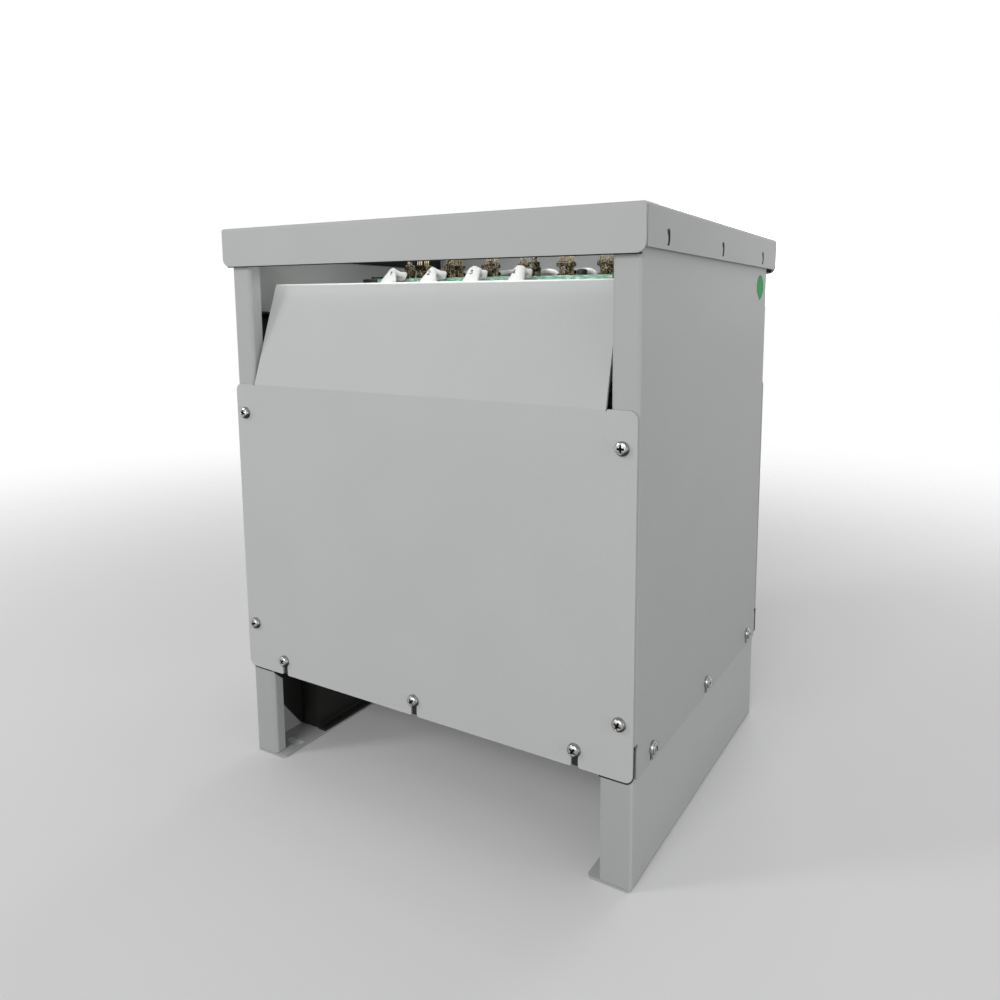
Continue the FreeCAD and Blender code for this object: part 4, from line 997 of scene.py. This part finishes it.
# Cover screws: a pan head with a cross recess
def head_grid(seat, outward, radius, height, spin):
    """Pan head. The profile goes up the rim, in over a narrow shoulder and over a crown, whose height is one
    less a power of the share of the radius. The recess takes away the larger of two crossed arms, each a
    clipped ramp across and along the arm. The recess, the groove at the shoulder and the lower rim away from
    the light are marked for painted shade."""
    rim = np.array(head_rim)
    crown = np.linspace(crown_edge, 0.0, crown_rows)
    share = np.concatenate([rim[:, 0], crown])
    level = np.concatenate([rim[:, 1], 1 - crown_fall * (crown / crown_edge) ** crown_power])

    angle = np.linspace(0, 2 * np.pi, head_turns, endpoint=False)
    across = np.stack([share[:, None] * np.cos(angle), share[:, None] * np.sin(angle)])
    reach = np.hypot(*across)
    along_arm = np.clip((recess_arm - np.abs(across)) / recess_edge, 0, 1)
    half = recess_width * (recess_taper[0] - recess_taper[1] * reach)
    inside_arm = np.clip((half / 2 + recess_edge / 2 - np.abs(across[::-1])) / recess_edge, 0, 1)
    arms = (along_arm * inside_arm).max(axis=0)
    cut = recess_depth * arms * np.clip(recess_rise[0] - reach / recess_rise[1], 0, 1)
    radii = np.repeat(share[:, None], head_turns, axis=1) * radius
    points = lathe(seat, outward, radii, (level[:, None] - cut) * height, spin)

    groove = np.exp(-((share - groove_share) / groove_width) ** 2)[:, None] * groove_painted_shade
    shade = np.array(shade_way)
    shade[np.argmax(np.abs(outward))] = 0
    shade /= np.linalg.norm(shade)
    lean = (points - seat) @ shade / radius
    crescent = np.clip((lean - shade_start) / shade_run, 0, 1) * rim_painted_shade
    # Painted shade: the recess, the groove and the rim away from the light
    painted_shade = np.clip(np.maximum(np.maximum(arms * recess_painted_shade, groove), crescent), 0, 1)
    return points, grid_faces(*arms.shape), np.stack([painted_shade, np.zeros_like(painted_shade)], axis=-1)


def make_screw_heads(name, outward, height):
    """Heads of one group of screws. Each sits where its solid's head sits, turned at random."""
    axis = int(np.argmax(np.abs(outward)))
    square = [k for k in range(3) if k != axis]
    random = np.random.default_rng(head_seed)
    parts = []
    for low, high in solids(name):
        radius = (high - low)[square].max() / 2
        seat = (low + high) / 2
        seat[axis] = (high if outward[axis] > 0 else low)[axis] - outward[axis] * front_head_height
        parts.append(head_grid(seat, outward, radius, height, random.uniform(0, np.pi)))
    mesh_piece(name.replace("screws", "screw_heads"), parts, materials["zinc"], (name,))


# Nuts, bolts and studs of the terminals
def hex_radii(flats, angle):
    """Distance from the middle of a hexagon to its side: half the flats over the cosine of the angle from
    the middle of the nearest flat."""
    return flats / 2 / np.cos((angle + np.pi / 6) % (np.pi / 3) - np.pi / 6)


def hex_rows(flats, height, top_only=False):
    """Rows of radii and heights of a hexagon whose corners are cut off by a cone at each end."""
    angle = np.linspace(0, 2 * np.pi, hex_turns, endpoint=False)
    corner = hex_radii(flats, angle)
    circle = np.full(hex_turns, flats / 2 * chamfer_share)
    drop = (corner - circle) * chamfer_slope
    low = np.zeros(hex_turns)
    rows = [(circle, low), (corner, low if top_only else drop), (corner, height - drop),
            (circle, low + height)]
    return [np.stack(part) for part in zip(*rows)]


def hex_spin(low, high, axis):
    """Turn that brings the hexagon's corners to the longer side of the solid's box."""
    first, second = [np.abs(v) @ (high - low) for v in square_to(axis)]
    return np.pi / 6 if first > second else 0.0


def hex_flats(low, high, axis):
    """Distance across the flats, which is the shorter side of the solid's box."""
    return min(np.abs(v) @ (high - low) for v in square_to(axis))


def nut_grid(low, high, axis, bore):
    """Chamfered nut: out along the hexagon and back down through its bore."""
    height = np.abs(axis) @ (high - low)
    radii, heights = hex_rows(hex_flats(low, high, axis), height)
    ends = np.full((1, hex_turns), bore)
    mouth = ends * (1 + bore_chamfer)
    step = bore * bore_chamfer
    flat = 0 * ends
    radii = np.concatenate([ends, mouth, radii, mouth, ends])
    heights = np.concatenate([flat + step, flat, heights, flat + height, flat + height - step])
    place = (low + high) / 2 - np.asarray(axis) * height / 2
    points = lathe(place, axis, radii, heights, hex_spin(low, high, axis))
    marks = np.zeros((*radii.shape, 2))
    # Painted shade in the bore
    marks[[0, -1], :, 0] = bore_painted_shade
    return points, grid_faces(*radii.shape, looped=True), marks


def make_nuts(name, axis, bore):
    """Nuts of one group of terminals."""
    parts = [nut_grid(low, high, axis, bore) for low, high in solids(name)]
    mesh_piece(name.replace("nuts", "hex_nuts"), parts, materials["turned_bronze"],
               (name,), smooth=False)


def make_studs(name):
    """Threaded studs. The radius loses the depth times a triangle wave of the height in pitches less the
    angle in turns, and narrows over the last bit of each end."""
    angle = np.linspace(0, 1, thread_turns, endpoint=False)
    parts = []
    for low, high in solids(name):
        length = high[2] - low[2]
        heights = np.linspace(0, length, int(length / thread_pitch * thread_rows))
        wave = np.abs((heights[:, None] / thread_pitch - angle) % 1 - 0.5) * 2
        end = np.minimum(heights, length - heights)[:, None]
        narrow = np.clip(1 - end / stud_end, 0, 1) * stud_end * stud_taper
        radii = (high[0] - low[0]) / 2 - thread_depth * wave - narrow
        place = np.array([(low[0] + high[0]) / 2, (low[1] + high[1]) / 2, low[2]])
        rows = lathe(place, (0, 0, 1), radii, np.repeat(heights[:, None], thread_turns, axis=1))
        points, faces, marks = closed_part(rows)
        # Painted shade in the thread valleys
        marks[1:-1, :, 0] = wave * thread_painted_shade
        parts.append((points, faces, marks))
    mesh_piece("front_threaded_studs", parts, materials["turned_bronze"], (name,))


def make_plate_bolts(name):
    """Chamfered hexagon heads that look to the front, with their shanks."""
    axis = np.array([0.0, -1.0, 0.0])
    shank = np.full((2, hex_turns), plate_shank)
    parts = []
    for low, high in solids(name):
        radii, heights = hex_rows(hex_flats(low, high, axis), plate_head, top_only=True)
        back = low[1] + plate_head - high[1]
        levels = np.stack([np.full(hex_turns, back), np.zeros(hex_turns)])
        place = np.array([(low[0] + high[0]) / 2, low[1] + plate_head, (low[2] + high[2]) / 2])
        parts.append(closed_part(lathe(place, axis, np.concatenate([shank, radii]),
                                       np.concatenate([levels, heights]), hex_spin(low, high, axis))))
    mesh_piece("back_hex_bolts", parts, materials["turned_bronze"], (name,), smooth=False)


def make_clamps(name, foot):
    """Clamp plates of the back terminals. The half width goes by the height: a broad foot, a waist at the
    bolt, and ears at the top, which stand forward of the rest. An angle also has a foot that lies on the
    board. Sections are superellipses, as in sweep."""
    random = np.random.default_rng(clamp_seed)
    angle = np.linspace(0, 2 * np.pi, clamp_turns, endpoint=False)
    square = [np.sign(f(angle)) * np.abs(f(angle)) ** clamp_corner for f in (np.cos, np.sin)]
    parts = []
    for low, high in solids(name):
        middle = (low[0] + high[0]) / 2
        heights = np.linspace(0, high[2] - low[2], clamp_rows)
        wide = np.interp(heights, clamp_levels, clamp_half_widths) * random.uniform(*clamp_spread)
        bulge = np.interp(heights, clamp_levels, clamp_bulges)
        face = high[1] - clamp_sheet if foot else low[1]
        centre = face + clamp_sheet / 2 - bulge / 2
        deep = (clamp_sheet + bulge) / 2
        parts.append(closed_part(np.stack([
            middle + wide[:, None] * square[0], centre[:, None] + deep[:, None] * square[1],
            np.broadcast_to((low[2] + heights)[:, None], (clamp_rows, clamp_turns))], axis=-1)))
        if foot:
            run = np.linspace(low[1], high[1] - clamp_sheet / 2, foot_rows)[:, None]
            across = middle + square[0] * (high[0] - low[0]) / 2
            up = low[2] + clamp_sheet / 2 * (1 + square[1])
            parts.append(closed_part(np.stack(np.broadcast_arrays(across, run, up), axis=-1)))
    mesh_piece(name.replace("back_terminal", "pressed"), parts, materials["bronze"],
               (name,), smooth=False)


def make_strands(name):
    """Bare wire ends, three strands to each. A strand leans away by the square of its height, and its top
    is rounded off and stands a little lower or higher than its neighbours."""
    random = np.random.default_rng(strand_seed)
    share = np.linspace(0, 1, strand_rows)
    radius = strand_radius * np.interp(share, (0, strand_tip[0], 1), (1, 1, strand_tip[1]))
    power = np.full(strand_rows, 2.0)
    parts = []
    for low, high in solids(name):
        middle = (low + high) / 2
        for across, back in strand_places:
            top = high[2] - random.uniform(0, strand_drop)
            lean = random.uniform(-strand_lean, strand_lean, 2)
            path = np.stack([middle[0] + across + share ** 2 * lean[0],
                             middle[1] + back + share ** 2 * lean[1],
                             low[2] + share * (top - low[2])], axis=1)
            parts.append(closed_part(sweep(path, (1, 0, 0), radius, radius, power, strand_turns)))
    mesh_piece("back_wire_strands", parts, materials["gold_wire"], (name,))


# Leads: braided sleeves
def sleeve_part(path, wide, thick, power, seed, crease):
    """Sleeve with an open end: out along the path, over the rim and a little way back inside. Its half
    widths swell and shrink by a sum of three sines of the length, and creases run round it near the fold,
    as a sine of the length whose height falls off on both sides of the fold."""
    random = np.random.default_rng(seed)
    phases = random.uniform(0, 2 * np.pi, 3)
    length = path_length(path)
    waves = sum(np.sin(length / run + phase) for run, phase in zip(swell_runs, phases)) / 3
    swell = 1 + swell_share * waves
    outer = sweep(path, (1, 0, 0), wide * swell, thick * swell, power, sleeve_sides)

    fold = length[np.argmax(path[:, 2])]
    near = np.exp(-((length - fold) / crease_reach) ** 2)
    turn = np.linspace(0, 2 * np.pi, sleeve_sides, endpoint=False)
    wander = crease_wander * np.sin(turn * 2 + phases[0])
    ripple = np.sin(length[:, None] / crease_run + wander) * near[:, None]
    out = outer - outer.mean(axis=1, keepdims=True)
    outer = outer + out / np.linalg.norm(out, axis=-1, keepdims=True) * (crease * ripple)[..., None]

    back = slice(None, -(len(path) // sleeve_mouth), -1)
    inner = sweep(path, (1, 0, 0), wide * swell - sleeve_wall, thick * swell - sleeve_wall, power,
                  sleeve_sides)
    rows = capped(np.concatenate([outer, inner[back]]))
    round_length = np.arange(sleeve_sides) / sleeve_sides * 2 * np.pi * sleeve_radius
    along = np.concatenate([length[:1], length, length[back], length[-1:]])
    maps = np.stack(np.broadcast_arrays(along[:, None], round_length[None, :]), axis=-1)
    return rows, grid_faces(*rows.shape[:2]), maps


def lead_start(low, high, rise_y, bottom):
    """Where a lead rises past the board, and its first points: up from the coil, then leaning out to that
    place."""
    span = (low[0] + sleeve_radius, high[0] - sleeve_radius)
    outer_x = max(span, key=abs)
    inner_x = min(span, key=abs)
    return outer_x, [(inner_x, rise_y, low[2]), (inner_x, rise_y, low[2] + coil_rise),
                     (outer_x, rise_y, bottom - lean_drop), (outer_x, rise_y, bottom - under_board)]


def along_lead(path, values):
    """Values along a lead, given at three lengths before its fold, at the fold, just behind it and at the
    end."""
    length = path_length(path)
    turn = length[np.argmax(path[:, 2])]
    keys = [turn - run for run in before_fold] + [turn, turn + behind_fold, length[-1]]
    return np.interp(length, keys, values)


def make_front_leads(name):
    """Front leads. Each rises flattened past the board, folds over to a ridge and comes down to its
    terminal."""
    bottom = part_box("terminal_board")[0][2]
    parts = []
    strokes = []
    for k, (low, high) in enumerate(solids(name)):
        riser, fold, power, soft, end, drop = front_folds[k]
        rise_y = low[1] + front_inset
        x, points = lead_start(low, high, rise_y, bottom)
        crest = rise_y + fold_back
        reach = soft * MM
        level = fold_level - drop * MM
        points += [(x, rise_y, riser_level - riser_run), (x, rise_y + riser_lean, riser_level),
                   (x, crest - fold_before[0] * reach - fold_gap, level - fold_before[1] * reach),
                   (x, crest, level + fold_lift + fold_rise * reach),
                   (x, crest + reach, level + fold_lift - fold_rise * reach), (x, high[1], end_level)]
        path = smooth_path(points, front_rows)
        wide = along_lead(path, [sleeve_radius, riser_wide, riser * MM, fold * MM,
                                 end * behind_share * MM, end * MM])
        thick = along_lead(path, [sleeve_radius, riser_thick, flat_thick, fold_thick, behind_thick,
                                  end_thick])
        powers = along_lead(path, [*riser_powers, power, *end_powers])
        parts.append(sleeve_part(path, wide, thick, powers, k, front_crease))
        strokes.append(digit_part(digits[k], digit_shifts[k], path, wide, thick, powers))
    mesh_piece("front_lead_sleeves", parts, materials["sleeve"], (name,))
    mesh_piece("sleeve_numbers", strokes, materials["ink"])


def digit_part(line, shift, path, wide, thick, power):
    """One figure as a round stroke that lies on the front of a sleeve, below its fold. A point of the
    figure goes across and along the sleeve, and out by what the superellipse leaves at that place."""
    length = path_length(path)
    fold = int(np.argmax(path[:, 2]))
    corners = np.array(line)
    steps = path_length(np.pad(corners, ((0, 0), (0, 1))))
    even = np.linspace(0, steps[-1], digit_rows)
    across = (np.interp(even, steps, corners[:, 0]) - 0.5) * digit_width + shift
    up = np.interp(even, steps, corners[:, 1]) - digit_below_fold
    along = length[fold] + up * digit_height
    middle = np.stack([np.interp(along, length, path[:, k]) for k in range(3)], axis=1)
    outward = np.cross((1, 0, 0), path_direction(path))
    outward = np.stack([np.interp(along, length, outward[:, k]) for k in range(3)], axis=1)
    half, deep, curve = [np.interp(along, length, values) for values in (wide, thick, power)]
    lift = deep * np.clip(1 - np.abs(across / half) ** curve, 0.02, 1) ** (1 / curve)
    stroke = middle + across[:, None] * np.array([1.0, 0, 0]) + (lift + digit_lift)[:, None] * outward
    size = np.full(digit_rows, digit_stroke)
    power = np.full(digit_rows, 2.0)
    return closed_part(sweep(stroke, outward, size * digit_flatness, size, power, digit_sides))


def make_back_leads(name):
    """Back leads, rising round behind the board and flattened where they bend over to their terminals."""
    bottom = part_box("terminal_board")[0][2]
    parts = []
    for k, (low, high) in enumerate(solids(name)):
        start_y = high[1] - sleeve_radius
        rise_y = start_y - back_inset
        top = high[2] - sleeve_radius - back_run_drop
        x, points = lead_start(low, high, start_y, bottom)
        points[2:] = [(x, rise_y, bottom - lean_drop), (x, rise_y, bottom + back_over_board),
                      (x, rise_y - back_bend, top), (x, (rise_y + low[1]) / 2, top + back_arch),
                      (x, low[1], top - back_arch)]
        path = smooth_path(points, back_rows)
        length = path_length(path)
        flat = np.clip((length - length[-1] + back_flat_run[0]) / back_flat_run[1], 0, 1)
        wide = sleeve_radius + flat * (back_half_width - sleeve_radius)
        thick = sleeve_radius + flat * (back_half_thick - sleeve_radius)
        power = 2.0 + back_power * flat
        parts.append(sleeve_part(path, wide, thick, power, back_seed + k, back_crease))
    mesh_piece("back_lead_sleeves", parts, materials["sleeve"], (name,))


# Folded edges with a painted highlight, dark linings that stand in for shadow, pads and sticker
def bar(path, side, wide, thick, power=8.0):
    """Bar along a path, closed at both ends. Its section is a superellipse, squarish for high powers."""
    path = np.asarray(path, float)
    full = np.ones(len(path))
    return closed_part(sweep(path, side, full * wide, full * thick, full * power, bar_sides))


def make_baffle_edges():
    """Folded edges along the tops of the two leaning baffles, in a paler coat as a painted highlight: bars
    whose radius rounds off over their ends as a quarter circle."""
    turn = np.linspace(0.05, np.pi / 2, edge_rows)
    run = baffle_edge_half - baffle_edge_radius * (1 - np.cos(np.pi / 2 - turn))
    across = np.concatenate([-run, run[::-1]])
    radius = baffle_edge_radius * np.sin(np.concatenate([turn, turn[::-1]]))
    parts = []
    for name, side in (("front_cover", -1), ("back_cover", 1)):
        low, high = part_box(name)
        y = side * (max(abs(low[1]), abs(high[1])) - baffle_edge_inset)
        level = high[2] - baffle_edge_drop
        path = np.stack([across, np.full_like(across, y), np.full_like(across, level)], axis=1)
        parts.append(bar(path, (0, 1, 0), radius, radius, 2.0))
    mesh_piece("baffle_edges", parts, materials["edge_highlight"])


def nib_lining(side, outer, y, level):
    """Dark filling of one crescent slot, which stands in for shadow: its middle follows a circle, and its
    width takes in the round eye."""
    rise = np.linspace(-nib_half_height, nib_half_height, nib_rows)
    middle = -nib_radius + np.sqrt(nib_radius ** 2 - rise ** 2)
    eye_y, eye_z, eye_radius = nib_eye
    eye = np.sqrt(np.clip(eye_radius ** 2 - (rise - eye_z) ** 2, 0, None))
    low = middle - nib_half_width
    high = middle + nib_half_width
    low = np.where(eye > 0, np.minimum(low, eye_y - eye), low)
    high = np.where(eye > 0, np.maximum(high, eye_y + eye), high)
    path = np.stack([np.full(nib_rows, side * (outer - lining_inset)), np.full(nib_rows, y), level + rise],
                    axis=1)
    rows, faces, maps = bar(path, (0, 1, 0), 1.0, nib_lining_half)
    share = (rows[..., 1] - y).clip(-1, 1)
    ends = np.concatenate([[0], np.arange(nib_rows), [nib_rows - 1]])
    rows[..., 1] = y + (low + high)[ends][:, None] / 2 + share * ((high - low)[ends][:, None] / 2)
    return rows, faces, maps


def lid_linings(panel):
    """Dark linings of the lid that stand in for shadow: its crescent slots and front corner seams, the back
    corners of its inside, and the lower edge of its front flange."""
    low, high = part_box("top_cover")
    outer = high[0]
    parts = []
    for side in (-1, 1):
        for y in (-nib_spacing, 0, nib_spacing):
            parts.append(nib_lining(side, outer, y, high[2] - nib_below_top))
        seam = [(side * (outer - lining_inset), low[1] + seam_inset, z)
                for z in (low[2] + seam_ends[0], high[2] - seam_ends[1])]
        parts.append(bar(seam, (0, 1, 0), *seam_halves))
        rear = [(side * x, high[1] - rear_lining_inset, high[2] - rear_lining_drop)
                for x in (panel[0][0] + rear_lining_ends[0], outer - rear_lining_ends[1])]
        parts.append(bar(rear, (0, 1, 0), *rear_lining_halves, rear_lining_power))
    front = [(x, low[1] + front_lining_inset, low[2] - front_lining_drop)
             for x in (low[0] + front_lining_end, outer - front_lining_end)]
    parts.append(bar(front, (0, 1, 0), *front_lining_halves))
    return parts


def joint_linings(end, side, panel, cover):
    """Dark lining that stands in for the shadow in the joint between a cover and a leg, which follows the
    cover's lower edge, its round corner and its side edge, and a dot in the corner relief over the panel's
    tongue."""
    y = end * (panel[1][1] + joint_out)
    half = cover[1][0]
    centre_x = half - cover_corner
    centre_z = cover[0][2] + cover_corner
    corner = [(side * (centre_x + (cover_corner + joint_past) * np.sin(turn)), y,
               centre_z - (cover_corner + joint_drop * np.cos(turn)) * np.cos(turn))
              for turn in np.linspace(0, np.pi / 2, corner_rows)]
    line = [(side * (half - leg_width), y, corner[0][2]), *corner,
            (side * (half + joint_past), y, tongue_top - tongue_gap)]
    relief = [(side * (half + relief_past), y - end * relief_in, tongue_top + z)
              for z in (-relief_run, relief_run)]
    return [bar(line, (0, 1, 0), joint_half, np.linspace(*joint_heights, len(line)), joint_power),
            bar(relief, (0, 1, 0), relief_half, relief_half, 2.0)]


def slot_lining(x, y, bottom, across, thick):
    """Dark lining that stands in for the shadow in one open slot, from just above the sheet's lower edge."""
    slot = [(x, y, bottom + z) for z in (slot_start, slot_run)]
    return bar(slot, across, slot_half, thick)


def make_gap_linings():
    """Black linings that stand in for shadow in the narrow gaps of the lid, between the covers and the legs,
    and in the open slots of the lower screws."""
    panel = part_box("right_side_panel")
    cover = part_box("front_cover")
    parts = lid_linings(panel)
    for end in (-1, 1):
        for side in (-1, 1):
            parts += joint_linings(end, side, panel, cover)
        for x in (-slot_x, 0, slot_x):
            y = end * (panel[1][1] + slot_lift)
            parts.append(slot_lining(x, y, cover[0][2], (1, 0, 0), slot_thick))
    for side in (-1, 1):
        for y in (-side_slot_y, 0, side_slot_y):
            x = side * (panel[1][0] - side_slot_in)
            parts.append(slot_lining(x, y, panel[0][2], (0, 1, 0), side_slot_thick))
    mesh_piece("shadow_gap_linings", parts, materials["shadow_lining"])


def make_board_pads():
    """Black pads folded over the two front corners of the board."""
    low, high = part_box("terminal_board")
    y = low[1] + corner_pad / 2 - pad_lift
    z = (low[2] + high[2]) / 2
    thick = (high[2] - low[2]) / 2 + pad_lift
    parts = []
    for side in (-1, 1):
        run = [(side * (high[0] + pad_lift), y, z), (side * (high[0] - corner_pad), y, z)]
        parts.append(bar(run, (0, 1, 0), corner_pad / 2, thick, pad_power))
    mesh_piece("board_corner_pads", parts, materials["rubber"])


def make_sticker():
    """Small plain sticker near the top of the right panel's back edge. Its half width at a height is full,
    rounded off over the top by a square and narrowing below the middle to a point."""
    outer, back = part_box("right_side_panel")[1][:2]
    rise = np.linspace(-1, 1, sticker_rows)
    level = np.concatenate([rise, rise[::-1][1:-1]])
    side = np.where(np.arange(len(level)) < sticker_rows, 1.0, -1.0)
    top = np.clip((level - sticker_shoulder) / (1 - sticker_shoulder), 0, 1)
    tip = np.clip((-sticker_waist - level) / (1 - sticker_waist), 0, 1)
    half = (1 - top ** 2) ** sticker_roundness * (1 - tip ** sticker_point)
    y = back - sticker_from_back + side * half * sticker_half_width
    z = sticker_level + level * sticker_half_height
    rows = [np.stack([np.full_like(y, x), y, z], axis=1) for x in (outer, outer + sticker_lift)]
    mesh_piece("green_sticker", [closed_part(np.stack(rows))], materials["sticker"],
               smooth=False)


# Studio
def make_camera():
    """Camera from its place, the turn of its view to the side, its tilt down and its roll."""
    forward = np.array([math.sin(camera_yaw) * math.cos(camera_pitch),
                        math.cos(camera_yaw) * math.cos(camera_pitch), -math.sin(camera_pitch)])
    right = np.array([math.cos(camera_yaw), -math.sin(camera_yaw), 0.0])
    up = np.cross(right, forward)
    rolled_right = right * math.cos(camera_roll) + up * math.sin(camera_roll)
    rolled_up = up * math.cos(camera_roll) - right * math.sin(camera_roll)
    data = bpy.data.cameras.new("camera")
    data.lens = camera_lens
    data.shift_x, data.shift_y = camera_shift
    data.clip_end = 50
    camera = bpy.data.objects.new("camera", data)
    bpy.context.scene.collection.objects.link(camera)
    matrix = np.eye(4)
    matrix[:3, :3] = np.stack([rolled_right, rolled_up, -forward], axis=1)
    matrix[:3, 3] = camera_place
    camera.matrix_world = matrix.T.tolist()
    bpy.context.scene.camera = camera


def add_lamp(name, place, aim, size, power, seen):
    """Soft lamp of a width and a height that looks at a point."""
    data = bpy.data.lights.new(name, "AREA")
    data.shape = "RECTANGLE"
    data.size, data.size_y = size
    data.energy = power
    lamp = bpy.data.objects.new(name, data)
    bpy.context.scene.collection.objects.link(lamp)
    lamp.location = place
    lamp.rotation_mode = "QUATERNION"
    lamp.rotation_quaternion = (Vector(aim) - Vector(place)).to_track_quat("-Z", "Y")
    lamp.visible_camera = seen


def seen_share(tree):
    """One for camera rays, reflections and rays through glass, and nought for the light that surfaces
    gather."""
    path = tree.nodes.new("ShaderNodeLightPath")
    share = math_node(tree, "MAXIMUM", path.outputs["Is Camera Ray"], path.outputs["Is Transmission Ray"])
    return math_node(tree, "MAXIMUM", share, path.outputs["Is Glossy Ray"])


def make_floor():
    """Pale floor that fades into the white background with the distance from the middle. What is seen of
    it is paler than what it sends back to the object."""
    corners = np.array([[-1, -1, 0], [1, -1, 0], [1, 1, 0], [-1, 1, 0]]) * floor_half
    mesh = bpy.data.meshes.new("floor")
    mesh.from_pydata((corners - [0, 0, floor_drop]).tolist(), [], [[0, 1, 2, 3]])
    material, tree, shader = start_material("pale_floor", 0.8)
    tree.links.new(ramp(tree, seen_share(tree), 0.0, 1.0, *floor_tones), shader.inputs["Base Color"])
    place = split_vector(tree, object_place(tree))
    share = tree.nodes.new("ShaderNodeMapRange")
    share.interpolation_type = "SMOOTHSTEP"
    share.inputs["From Min"].default_value, share.inputs["From Max"].default_value = floor_fade
    tree.links.new(distance_node(tree, place["X"], place["Y"]), share.inputs["Value"])
    clear = tree.nodes.new("ShaderNodeBsdfTransparent")
    mix = tree.nodes.new("ShaderNodeMixShader")
    tree.links.new(share.outputs["Result"], mix.inputs["Fac"])
    tree.links.new(shader.outputs[0], mix.inputs[1])
    tree.links.new(clear.outputs[0], mix.inputs[2])
    tree.links.new(mix.outputs[0], tree.nodes["Material Output"].inputs["Surface"])
    mesh.materials.append(material)
    floor = bpy.data.objects.new("floor", mesh)
    bpy.context.scene.collection.objects.link(floor)


def make_studio():
    """Pale floor, soft lamps, and a world that is white to the camera and in reflections."""
    for lamp in lamps:
        add_lamp(*lamp)
    world = bpy.data.worlds.new("studio")
    bpy.context.scene.world = world
    world.use_nodes = True
    tree = world.node_tree
    background = tree.nodes["Background"]
    strength = ramp(tree, seen_share(tree), 0.0, 1.0, *world_strengths)
    tree.links.new(strength, background.inputs["Strength"])
    background.inputs["Color"].default_value = (1, 1, 1, 1)
    make_floor()


dress_nodes()
make_screw_heads("front_cover_screws", (0, -1, 0), front_head_height)
make_screw_heads("back_cover_screws", (0, 1, 0), front_head_height)
make_screw_heads("left_side_screws", (-1, 0, 0), side_head_height)
make_screw_heads("right_side_screws", (1, 0, 0), side_head_height)
make_nuts("front_terminal_nuts", (0, 0, 1), stud_bore)
make_nuts("back_terminal_nuts", (0, 1, 0), plate_bore)
make_studs("front_terminal_studs")
make_plate_bolts("back_terminal_bolts")
make_clamps("back_terminal_angles", True)
make_clamps("back_terminal_plates", False)
make_strands("back_wire_ends")
make_front_leads("front_sleeved_leads")
make_back_leads("back_sleeved_leads")
make_baffle_edges()
make_gap_linings()
make_board_pads()
make_sticker()
make_camera()
make_studio()
bpy.context.scene.view_settings.view_transform = "Standard"
